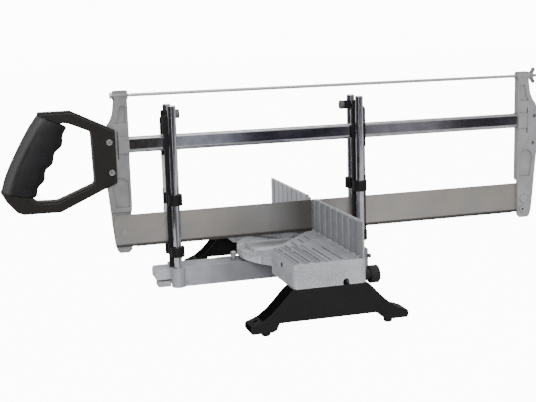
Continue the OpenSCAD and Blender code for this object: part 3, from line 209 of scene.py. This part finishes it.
def castAluminium():
    # sand-cast table: painted glints on a cloudy skin, painted shade in grooves, edges paler as wear and
    # highlight
    s = Shade("castAluminium", metallic=0.35, roughness=0.5)
    cloud = s.noise(28, 4, 0.6)
    grain = s.noise(620, 4, 0.75)
    # bright specks painted as glints of the cast grain
    glint = s.band(s.noise(800, 2, 0.6), 0.57, 0.68)
    pit = s.band(s.noise(560, 3, 0.7), 0.56, 0.70)
    base = s.mix(s.band(cloud, 0.35, 0.68), castFinish["dark"], castFinish["light"])
    base = s.mix(pit * 0.55, base, castFinish["pit"])
    base = s.mix(glint * 0.6, base, castFinish["glint"])
    across = s.size(s.x)
    fence = s.band(s.z, *castPlaces["fenceFootZ"])
    away = s.band(s.x, *castPlaces["farHalfX"])
    base = castFence(s, base, fence, away)
    base = castSector(s, base)
    # painted shadow: dark where the blade passes over the table
    kerf = s.band(across, *castPlaces["kerfX"]) * s.band(s.y, *castPlaces["kerfY"])
    base = s.mix(kerf * s.band(s.z, *castPlaces["kerfZ"]) * 0.8, base, castFinish["groove"])
    # painted highlights as light lines between the near half's ribs, painted shade as dark ones on the far
    # half
    turn = s.part((across - castPattern["firstRib"]) / castPattern["ribStep"])
    line = s.band(s.size(turn - 0.5), 0.075, 0.035)
    base = s.mix(line * fence * (1.0 - away) * 0.50, base, castFinish["edge"])
    base = s.mix(line * fence * away * 0.8, base, castFinish["shaded"])
    base = castTable(s, base, across, s.band(s.z, *castPlaces["tableTopZ"]) * (1.0 - fence))
    # painted shade deep in the grooves
    groove = occlusionShade(s, 0.0032, 0.42)
    # edges painted paler, partly wear and partly painted highlights
    edge = wearAndHighlight(s, 0.0013) * (1.0 - groove)
    base = s.mix(edge * 0.85, base, castFinish["edge"])
    # broader painted shade in recesses
    base = s.mix(occlusionShade(s, 0.010) * 0.35, base, castFinish["shaded"])
    base = s.mix(groove * 0.95, base, castFinish["groove"])
    # painted shade: dark walls inside the stop holes
    aside = across - castPattern["holeX"]
    drop = s.z - castPattern["holeZ"]
    bore = s.band(aside * aside + drop * drop, *castPlaces["boreSquare"])
    base = s.mix(bore * 0.97, base, castFinish["bore"])
    s.paint(base, s.clamp(0.34 + grain * 0.3 + cloud * 0.08 - edge * 0.1))
    s.relief(grain + s.noise(330, 4, 0.65) * 1.4, 0.7, 0.0006, 0.0006)
    return s.material


def castFence(s, base, fence, away):
    # painted shade: darker than the table, most on its near half's front; painted highlight: paler on the far
    # half
    face = fence * s.band(s.y, *castPlaces["fenceFaceY"])
    base = s.mix(fence * 0.15 + face * (1.0 - away) * 0.60, base, castFinish["shaded"])
    return s.mix(fence * away * 0.36, base, castFinish["edge"])


def castSector(s, base):
    # the round sector in front of the table has a rougher crust painted in highlights and shade, and a paler
    # lower rim
    behind = s.y - pivotShift
    near = s.band(s.x * s.x + behind * behind, *castPlaces["sectorSquare"])
    sector = near * s.band(s.y, *castPlaces["sectorY"])
    crust = s.band(s.noise(290, 5, 0.75), 0.44, 0.58)
    base = s.mix(sector * crust * 0.62, base, castFinish["edge"])
    base = s.mix(sector * (1.0 - crust) * 0.42, base, castFinish["shaded"])
    return s.mix(sector * s.band(s.z, *castPlaces["rimZ"]) * 0.5, base, castFinish["edge"])


def castTable(s, base, across, top):
    # painted shade darker toward the fence, scuffed along X, with pale lands behind the long grooves painted
    # as highlights, and darker in the middle of each row so that only its edges stay pale
    base = s.mix(s.band(s.y, *castPlaces["fenceShadeY"]) * top * 0.50, base, castFinish["shaded"])
    scuff = s.band(s.noise(1, 4, 0.7, s.stretched((26.0, 240.0, 60.0))), 0.46, 0.62)
    base = s.mix(scuff * top * 0.30, base, castFinish["light"])
    row = s.part((s.y - castPattern["firstGroove"]) / castPattern["grooveStep"])
    # how far the grooves reach on the table
    reach = top * s.band(across, *castPlaces["groovesX"]) * s.band(s.y, *castPlaces["groovesY"])
    land = s.band(row, 0.10, 0.16) * s.band(row, 0.40, 0.32)
    base = s.mix(land * reach * 0.85, base, castFinish["edge"])
    return s.mix(s.band(s.size(row - 0.5), 0.5, 0.34) * reach * 0.75, base, castFinish["shaded"])


armFinish = {"base": (0.35, 0.36, 0.40), "pale": (0.43, 0.44, 0.48), "edge": (0.68, 0.69, 0.73),
             "corner": (0.09, 0.092, 0.1), "underSectorY": (-0.118, -0.086), "thumbRestY": (-0.160, -0.166)}


def satinAluminium():
    s = Shade("satinAluminium", metallic=0.4, roughness=0.42)
    cloud = s.noise(40, 3, 0.5)
    grain = s.noise(1100, 2, 0.6)
    edge = wearAndHighlight(s)
    base = s.mix(s.band(cloud, 0.35, 0.7), armFinish["base"], armFinish["pale"])
    # edges painted paler, partly wear and partly painted highlights
    base = s.mix(edge * 0.85, base, armFinish["edge"])
    # painted shadow darker under the sector; paler on the thumb rest
    base = s.mix(s.band(s.y, *armFinish["underSectorY"]) * 0.50, base, armFinish["corner"])
    base = s.mix(s.band(s.y, *armFinish["thumbRestY"]) * 0.45, base, armFinish["edge"])
    # painted shade in corners
    s.paint(s.mix(occlusionShade(s) * 0.6, base, armFinish["corner"]), 0.36 + grain * 0.14)
    s.relief(grain, 0.12, 0.0002, 0.0006)
    return s.material


paintFinish = {"base": (0.27, 0.27, 0.275), "pale": (0.33, 0.33, 0.335), "bright": (0.52, 0.52, 0.52),
               "corner": (0.08, 0.08, 0.082)}


def silverPaint(name, gain):
    # metallic grey paint on the end castings; gain makes its lit and shaded copies, painted light and shade
    s = Shade(name, metallic=0.3, roughness=0.42)
    plain = tuple(c * gain for c in paintFinish["base"])
    pale = tuple(c * gain for c in paintFinish["pale"])
    cloud = s.noise(60, 3, 0.5)
    flake = s.noise(2600, 1, 0.5)
    edge = wearAndHighlight(s)
    base = s.mix(s.band(cloud, 0.35, 0.7), plain, pale)
    # edges painted paler, partly wear and partly painted highlights
    base = s.mix(edge * 0.55, base, paintFinish["bright"])
    # painted shade in corners
    s.paint(s.mix(occlusionShade(s, 0.003) * 0.8, base, paintFinish["corner"]), 0.34 + flake * 0.16)
    s.relief(s.noise(700, 3, 0.6), 0.14, 0.0002, 0.0006)
    return s.material


def chromePlate(name, dull, clear, roughness):
    s = Shade(name, metallic=1.0, roughness=roughness)
    haze = s.noise(90, 3, 0.5)
    scratch = s.noise(60, 2, 0.6, s.stretched((30.0, 30.0, 1.0)))
    s.paint(s.mix(s.band(haze, 0.4, 0.7), dull, clear), roughness - 0.03 + scratch * 0.08)
    s.relief(haze, 0.02, 0.0002, 0.0003)
    return s.material


bladeFinish = {"base": (0.395, 0.380, 0.362), "warm": (0.465, 0.432, 0.390), "cool": (0.355, 0.365, 0.385),
               "tooth": (0.055, 0.050, 0.046), "middleShade": (0.115, 0.105, 0.100), "ground": (0.62, 0.60, 0.57),
               "middleY": 0.016, "middleBlend": (0.050, 0.004), "paleFromY": (0.075, 0.12),
               "paleToY": (0.21, 0.15), "toothZ": (0.0826, 0.0806), "toothWobble": 0.0010}


def bladeSteel():
    # ground along its length, with faint heat tints and a dark band of hardened teeth
    s = Shade("bladeSteel", metallic=0.85, roughness=0.36)
    lines = s.noise(180, 4, 0.7, s.stretched((8.0, 0.25, 16.0)))
    fine = s.noise(600, 2, 0.6, s.stretched((8.0, 0.12, 9.0)))
    tint = s.noise(14, 2, 0.5)
    cool = s.noise(9, 2, 0.5, s.stretched((1.0, 1.0, 2.4)))
    base = s.mix(s.band(tint, 0.42, 0.68), bladeFinish["base"], bladeFinish["warm"])
    base = s.mix(s.band(cool, 0.50, 0.72) * 0.8, base, bladeFinish["cool"])
    base = s.mix(s.band(lines, 0.35, 0.75) * 0.16, base, bladeFinish["ground"])
    # painted shade: darker around its middle
    middle = s.size(s.y - bladeFinish["middleY"])
    base = s.mix(s.band(middle, *bladeFinish["middleBlend"]) * 0.82, base, bladeFinish["middleShade"])
    # painted light: a paler stretch toward the far end
    pale = s.band(s.y, *bladeFinish["paleFromY"]) * s.band(s.y, *bladeFinish["paleToY"])
    base = s.mix(pale * 0.30, base, bladeFinish["ground"])
    wobble = (s.noise(260, 2, 0.6) - 0.5) * bladeFinish["toothWobble"]
    tooth = s.band(s.z + wobble, *bladeFinish["toothZ"])
    base = s.mix(tooth * 0.93, base, bladeFinish["tooth"])
    s.paint(base, s.clamp(0.26 + fine * 0.16 + tooth * 0.12))
    s.relief(lines + fine, 0.10, 0.0001, 0.0002)
    return s.material


# shares of the tone of a plated part, and the colour of the painted shade in its corners
zincFinish = {"dull": (0.8, 0.81, 0.82), "clear": (1.0, 1.0, 0.99), "edge": (1.25, 1.25, 1.22),
              "corner": (0.06, 0.06, 0.06)}


def zincPlate(name, tone=0.52, roughness=0.34):
    s = Shade(name, metallic=0.9, roughness=roughness)
    cloud = s.noise(300, 3, 0.6)
    edge = wearAndHighlight(s, 0.0005)
    dull, clear, rubbedAndLit = [tuple(c * tone for c in zincFinish[key]) for key in ("dull", "clear", "edge")]
    base = s.mix(s.band(cloud, 0.35, 0.7), dull, clear)
    # edges painted paler, partly wear and partly painted highlights
    base = s.mix(edge * 0.5, base, rubbedAndLit)
    # painted shade in corners and recesses
    base = s.mix(occlusionShade(s, 0.002) * 0.85, base, zincFinish["corner"])
    s.paint(base, roughness - 0.08 + cloud * 0.16)
    s.relief(s.noise(1400, 2, 0.5), 0.10, 0.0001, 0.0003)
    return s.material


# painted shade, the flat black of slopes that face the handle: none at the first value of the normal's Y, all
# at the second
slopeShade = {"colour": (0.002, 0.002, 0.002), "turn": (-0.30, -0.50)}


def mouldedPlastic(name, colour, sheen, roughness, grainScale=1200, grainDepth=0.16, dull=0.0):
    # dark moulding with a fine grain and a painted sheen on its edges; dull lays painted shade on faces
    # turned to -Y
    s = Shade(name, roughness=roughness, specular=0.22)
    grain = s.noise(grainScale, 2, 0.6)
    cloud = s.noise(50, 3, 0.5)
    edge = wearAndHighlight(s)
    base = s.mix(s.band(cloud, 0.35, 0.7), colour, tuple(c * 1.25 for c in colour))
    # edges painted with the paler sheen
    s.paint(s.mix(edge * 0.6, base, sheen), roughness - 0.06 + grain * 0.14)
    s.relief(grain, grainDepth, 0.0002, 0.0007)
    # painted shade: a flat black on the slopes turned to the handle
    if dull:
        normal = s.node("ShaderNodeTexCoord", {}, {}, "Normal")
        turned = s.node("ShaderNodeSeparateXYZ", {}, {"Vector": normal}, "Y")
        slope = s.band(turned, *slopeShade["turn"]) * (1.0 - edge)
        s.blend("ShaderNodeBsdfDiffuse", {"Color": slopeShade["colour"]}, slope * dull)
    return s.material


# the grip's colours, and its outer edge: where that line starts, how it leans and how far it bows out
gripFinish = {"dark": (0.0075, 0.0072, 0.0085), "pale": (0.0115, 0.011, 0.013), "back": (0.064, 0.064, 0.066),
              "edge": (0.11, 0.11, 0.115), "startY": -0.376, "startZ": 0.155, "lean": 0.55, "bow": 0.006,
              "bowZ": 0.1985, "bowing": 3.1, "backBlend": (-0.0120, -0.0070)}


def softGrip():
    # blue-black soft grip with a painted sheen along its back, painted highlights on its edges and a fine
    # pebble grain
    s = Shade("softGrip", roughness=0.55, specular=0.25)
    pebble = s.node("ShaderNodeTexVoronoi", {}, {"Vector": s.place, "Scale": 700.0})
    cloud = s.noise(45, 3, 0.5)
    # distance inside the outer edge, which bows out between its ends
    bow = gripFinish["bow"] - gripFinish["bowing"] * (s.z - gripFinish["bowZ"]) ** 2
    start = gripFinish["startY"] + pivotShift
    inside = (s.z - gripFinish["startZ"]) * gripFinish["lean"] - (s.y - start) - bow
    base = s.mix(s.band(cloud, 0.35, 0.7), gripFinish["dark"], gripFinish["pale"])
    # painted sheen: paler along the back, inside the outer edge
    base = s.mix(s.band(inside, *gripFinish["backBlend"]) * 0.8, base, gripFinish["back"])
    # edges painted paler as highlights
    s.paint(s.mix(wearAndHighlight(s, 0.0016) * 0.8, base, gripFinish["edge"]), 0.44 + pebble * 0.2)
    s.relief(pebble, 0.14, 0.0002, 0.0005)
    return s.material


def blackRubber():
    s = Shade("blackRubber", roughness=0.8, specular=0.3)
    grain = s.noise(900, 3, 0.6)
    s.paint(s.mix(grain, (0.012, 0.012, 0.012), (0.03, 0.03, 0.03)), 0.7 + grain * 0.2)
    s.relief(grain, 0.2, 0.0002, 0.0005)
    return s.material


black = mouldedPlastic("blackMoulding", (0.006, 0.006, 0.007), (0.028, 0.028, 0.03), 0.45)
knobBlack = mouldedPlastic("knobMoulding", (0.017, 0.017, 0.017), (0.075, 0.075, 0.075), 0.4)
footBlack = mouldedPlastic("footMoulding", (0.0075, 0.0072, 0.0075), (0.035, 0.035, 0.036), 0.55, 900, 0.22,
                           dull=0.92)
frameBlack = mouldedPlastic("handleMoulding", (0.012, 0.0100, 0.0085), (0.16, 0.15, 0.14), 0.42, 1500, 0.08)
linerGrey = mouldedPlastic("linerMoulding", (0.47, 0.48, 0.485), (0.62, 0.62, 0.62), 0.45, 1500, 0.06)
leverGrey = mouldedPlastic("leverEnamel", (0.34, 0.34, 0.345), (0.52, 0.52, 0.52), 0.38, 900, 0.06)
zinc = zincPlate("zincPlate")
brightPlate = zincPlate("brightPlate", 0.74, 0.26)
darkScrew = zincPlate("darkScrew", 0.09, 0.4)
clampScrew = zincPlate("clampScrew", 0.22, 0.4)
rodPlate = zincPlate("rodPlate", 0.82, 0.3)
chrome = chromePlate("postChrome", (0.64, 0.65, 0.69), (0.77, 0.775, 0.81), 0.09)
tubeChrome = chromePlate("tubeChrome", (0.50, 0.50, 0.53), (0.62, 0.62, 0.65), 0.05)
shadedHandlePaint = silverPaint("shadedHandlePaint", 0.78)
litFarPaint = silverPaint("litFarPaint", 1.17)
finishes = {
    "bed_casting": castAluminium(), "left_foot": footBlack, "right_foot": footBlack,
    "foot_pads": blackRubber(), "foot_screws": zinc, "pivot_bolt": zinc, "pivot_washer": zinc,
    "swing_arm": satinAluminium(),
    "post_set_screws": darkScrew, "guide_posts": chrome, "lever_pin": zinc, "index_pointer": brightPlate,
    "pointer_screw": zinc, "index_lever": leverGrey, "front_guide": black, "rear_guide": black,
    "front_liners": linerGrey, "rear_liners": linerGrey,
    "front_stop_collar": black, "rear_stop_collar": black,
    "front_stop_screw": clampScrew, "rear_stop_screw": clampScrew, "spine_tube": tubeChrome,
    "handle_casting": shadedHandlePaint, "far_casting": litFarPaint, "blade": bladeSteel(), "blade_pins": zinc,
    "tension_rod": rodPlate, "rod_washer": zinc, "wing_nut": zinc, "handle_frame": frameBlack,
    "handle_screws": zinc, "lock_knob": knobBlack, "lock_stud": zinc,
}
for nodeName, finish in finishes.items():
    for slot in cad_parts[nodeName].material_slots:
        slot.material = finish
print("mitre saw: materials done")


# new pieces

def addPiece(name, points, faces, material):
    mesh = bpy.data.meshes.new(name)
    mesh.from_pydata(points, [], faces)
    mesh.update()
    made = bpy.data.objects.new(name, mesh)
    bpy.context.scene.collection.objects.link(made)
    mesh.materials.append(material)
    return made


def gridFaces(rows, columns):
    # quads of a grid that closes on itself across the columns
    i, j = np.meshgrid(np.arange(rows - 1), np.arange(columns), indexing="ij")
    k = (j + 1) % columns
    return np.stack([i * columns + j, i * columns + k, (i + 1) * columns + k, (i + 1) * columns + j],
                    -1).reshape(-1, 4)


def curveThrough(points, samples):
    # Catmull-Rom curve through the points, at evenly spaced parameters
    p = np.vstack([2 * points[0] - points[1], points, 2 * points[-1] - points[-2]])
    t = np.linspace(0, len(points) - 1, samples)
    i = np.minimum(t.astype(int), len(points) - 2)
    u = (t - i)[:, None]
    a, b, c, d = p[i], p[i + 1], p[i + 2], p[i + 3]
    square = 2 * a - 5 * b + 4 * c - d
    cube = 3 * b - a - 3 * c + d
    return 0.5 * (2 * b + (c - a) * u + square * u ** 2 + cube * u ** 3)


# half is half the width along X; square and round shape the sections; each taper is a share of the width
# and the power with which it grows toward both ends; outer and finger are the two edges as (y, z) in mm
gripShape = {"half": 0.0138, "square": 0.78, "round": 0.9, "samples": 96, "ring": 80, "wave": 0.0014,
             "waveWay": [[1.0, -0.5]], "hollows": 4, "lip": 0.0042, "lipPower": 34,
             "tapers": [(0.10, 6), (0.14, 60)], "channels": [(0.74, 0.055), (-0.60, 0.06)], "channel": 0.10,
             "outer": [(-376.5, 154.4), (-371.7, 169.9), (-365.3, 184.5), (-357.7, 199.1),
                       (-349.0, 214.8), (-340.0, 229.3), (-330.3, 242.6)],
             "finger": [(-337.6, 147.2), (-331.0, 160.2), (-324.4, 173.5), (-316.9, 186.6),
                        (-309.2, 199.8), (-302.0, 213.1), (-297.2, 229.6)]}


def sweptGrip():
    # superellipse sections carried between the outer edge and the finger edge; swells slightly at each finger
    outer = curveThrough(np.array(gripShape["outer"]) / 1000, gripShape["samples"])
    finger = curveThrough(np.array(gripShape["finger"]) / 1000, gripShape["samples"])
    along = np.linspace(0, 1, gripShape["samples"])[:, None]
    wave = gripShape["wave"] * np.cos(2 * np.pi * gripShape["hollows"] * along)
    finger += wave * np.array(gripShape["waveWay"])
    # both ends of the finger edge turn in, over a short length
    toEnd = 2 * along - 1
    finger[:, :1] -= gripShape["lip"] * np.abs(toEnd) ** gripShape["lipPower"]
    angle = np.linspace(0, 2 * np.pi, gripShape["ring"], endpoint=False)[None, :]
    c, s = np.cos(angle), np.sin(angle)
    middle, side = (outer + finger) / 2, (finger - outer) / 2
    across = np.sign(c) * np.abs(c) ** gripShape["round"]
    y = middle[:, :1] + side[:, :1] * across
    z = middle[:, 1:] + side[:, 1:] * across
    ends = 1 - sum(share * toEnd ** power for share, power in gripShape["tapers"])
    x = np.sign(s) * np.abs(s) ** gripShape["square"] * gripShape["half"] * ends
    # a shallow channel beside each edge, where the soft cover laps over the core
    for place, width in gripShape["channels"]:
        x *= 1 - gripShape["channel"] * np.exp(-((across - place) / width) ** 2)
    points = np.stack([x + 0 * y, y + pivotShift, z + 0 * x], -1).reshape(-1, 3)
    ring = gripShape["ring"]
    count = gripShape["samples"] * ring
    last = count - ring
    points = np.vstack([points, points[:ring].mean(0), points[last:].mean(0)])
    j = np.arange(ring)
    k = (j + 1) % ring
    # a fan of triangles around a middle point closes each end
    bottom = np.stack([0 * j + count, k, j], -1)
    top = np.stack([0 * j + count + 1, last + j, last + k], -1)
    faces = gridFaces(gripShape["samples"], ring).tolist() + bottom.tolist() + top.tolist()
    made = addPiece("soft_grip", points.tolist(), faces, softGrip())
    made.data.polygons.foreach_set("use_smooth", np.ones(len(faces), bool))
    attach(made, "saw")
    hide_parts("grip")


sweptGrip()
print("mitre saw: grip done")


# stage, light and camera

studio = {"floor": (0.50, 0.50, 0.50), "floorSize": 14.0, "sky": 0.80,
          # the floor's brightness for the camera, the share of it that glows, and what the light adds to that
          "glow": 12.0, "glowShare": 0.5, "glowGain": 0.5,
          # the sky's tone from straight down to straight up
          "skyTones": [(0.0, 0.7), (0.50, 0.75), (0.56, 0.55), (0.70, 0.9), (1.0, 1.0)],
          # panels seen only by reflections, as two corners each: the first two stand, the others lie down
          "cards": [((-0.4, -0.62, 0), (1.1, -0.62, 1.2)), ((1.45, -0.6, 0), (1.45, 2.0, 0.9)),
                    ((0.30, -0.60, 0.002), (0.90, -0.11, 0.002)), ((0.34, 0.09, 0.002), (0.80, 0.22, 0.002)),
                    ((0.95, -0.60, 0.002), (1.45, 0.03, 0.002)), ((1.39, 0.03, 0.002), (1.45, 0.30, 0.002)),
                    ((1.05, 0.30, 0.002), (1.45, 2.0, 0.002))],
          # the colour of their faint streaks
          "streak": (0.60, 0.575, 0.58),
          # their colour from y = -0.6 m to y = 1.4 m
          "tones": [(0.0, (0.016, 0.016, 0.022)), (0.35, (0.036, 0.030, 0.028)), (0.385, (0.48, 0.49, 0.56)),
                    (0.440, (0.34, 0.35, 0.42)), (0.480, (0.03, 0.031, 0.046)), (0.605, (0.03, 0.03, 0.045)),
                    (0.66, (0.34, 0.33, 0.36)), (0.74, (0.32, 0.31, 0.335)), (0.79, (0.06, 0.057, 0.068)),
                    (1.0, (0.055, 0.052, 0.062))]}


# each light: its name, its place, the point it faces, its two sides and its power
lights = [("overhead", (0.6, -0.3, 2.4), (0, 0, 0.1), (2.6, 2.6), 25),
          ("cameraSide", (2.9, -0.8, 1.3), (0, 0, 0.12), (1.0, 1.2), 72),
          ("handleSide", (0.5, -2.4, 1.1), (0, 0, 0.12), (0.8, 1.0), 9),
          ("farSide", (-1.2, 1.9, 1.6), (0, 0, 0.1), (1.6, 1.2), 14)]
# the photograph's camera, found from the corners of the table and the length of the blade; angles in degrees
camera = {"place": (1.1978, -0.4100 + pivotShift, 0.3461), "azimuth": 73.512, "elevation": 10.246,
          "roll": -1.627, "lens": 68.36, "sensor": 36.0, "near": 0.05, "far": 60}


def makeStage():
    # a flat floor
    half = studio["floorSize"] / 2
    s = Shade("paleFloor", roughness=0.75, specular=0.2)
    s.paint(s.mix(s.noise(3, 2, 0.5), studio["floor"], tuple(c * 0.99 for c in studio["floor"])))
    # the camera sees it lit through to near white, as on a light table; the saw isn't lit by this
    seen = s.node("ShaderNodeLightPath", {}, {}, "Is Camera Ray")
    glow = {"Color": (1.0, 1.0, 1.0), "Strength": studio["glow"] / studio["glowShare"]}
    s.blend("ShaderNodeEmission", glow, seen * studio["glowShare"])
    corners = [(-half, -half, 0), (half, -half, 0), (half, half, 0), (-half, half, 0)]
    addPiece("studio_floor", corners, [(0, 1, 2, 3)], s.material)


def makeCards():
    # dark panels that give the chrome its streaks; only reflections see them
    s = Shade("darkCard", roughness=0.8, specular=0.1)
    streak = s.noise(1, 3, 0.6, s.stretched((26.0, 4.0, 42.0)))
    base = s.ramp(s.y * 0.5 + 0.3, studio["tones"])
    s.paint(s.mix(s.band(streak, 0.50, 0.64) * 0.17, base, studio["streak"]))
    for number, ((x0, y0, z0), (x1, y1, z1)) in enumerate(studio["cards"]):
        if z0 == z1:
            corners = [(x0, y0, z0), (x1, y0, z0), (x1, y1, z0), (x0, y1, z0)]
        else:
            corners = [(x0, y0, z0), (x1, y1, z0), (x1, y1, z1), (x0, y0, z1)]
        made = addPiece(f"dark_card_{number}", corners, [(0, 1, 2, 3)], s.material)
        made.visible_camera = False
        made.visible_diffuse = False
        made.visible_shadow = False


def makeWorld():
    # pale sky with a darker band near the horizon for the chrome to mirror; the camera sees it plain
    world = bpy.data.worlds.new("studio")
    bpy.context.scene.world = world
    world.use_nodes = True
    sky = Tree(world.node_tree)
    way = sky.node("ShaderNodeTexCoord", {}, {}, "Generated")
    height = sky.node("ShaderNodeSeparateXYZ", {}, {"Vector": way}, "Z")
    tones = sky.ramp(height * 0.5 + 0.5, [(at, (tone, tone, tone)) for at, tone in studio["skyTones"]])
    plain = ((studio["glow"] + studio["glowGain"]) / studio["sky"],) * 3
    colour = sky.mix(sky.node("ShaderNodeLightPath", {}, {}, "Is Camera Ray"), tones, plain)
    back = sky.node("ShaderNodeBackground", {}, {"Color": colour, "Strength": studio["sky"]})
    sky.node("ShaderNodeOutputWorld", {}, {"Surface": back}, None)


def makeLight(name, place, target, size, power):
    data = bpy.data.lights.new(name, "AREA")
    data.shape = "RECTANGLE"
    data.size, data.size_y = size
    data.energy = power
    made = bpy.data.objects.new(name, data)
    made.location = place
    made.rotation_euler = (Vector(target) - Vector(place)).to_track_quat("-Z", "Y").to_euler()
    bpy.context.scene.collection.objects.link(made)


def makeCamera():
    a, e, r = [math.radians(camera[key]) for key in ("azimuth", "elevation", "roll")]
    back = Vector((math.sin(a) * math.cos(e), -math.cos(a) * math.cos(e), math.sin(e)))
    right = Vector((math.cos(a), math.sin(a), 0))
    up = back.cross(right)
    turnedRight = right * math.cos(r) + up * math.sin(r)
    turnedUp = up * math.cos(r) - right * math.sin(r)
    data = bpy.data.cameras.new("photoCamera")
    data.lens = camera["lens"]
    data.sensor_width = camera["sensor"]
    data.sensor_fit = "HORIZONTAL"
    data.clip_start = camera["near"]
    data.clip_end = camera["far"]
    made = bpy.data.objects.new("photoCamera", data)
    bpy.context.scene.collection.objects.link(made)
    turn = Matrix((turnedRight, turnedUp, back)).transposed()
    made.matrix_world = Matrix.Translation(Vector(camera["place"])) @ turn.to_4x4()
    bpy.context.scene.camera = made


makeStage()
makeCards()
makeWorld()
for light in lights:
    makeLight(*light)
makeCamera()
print("mitre saw: stage, light and camera done")
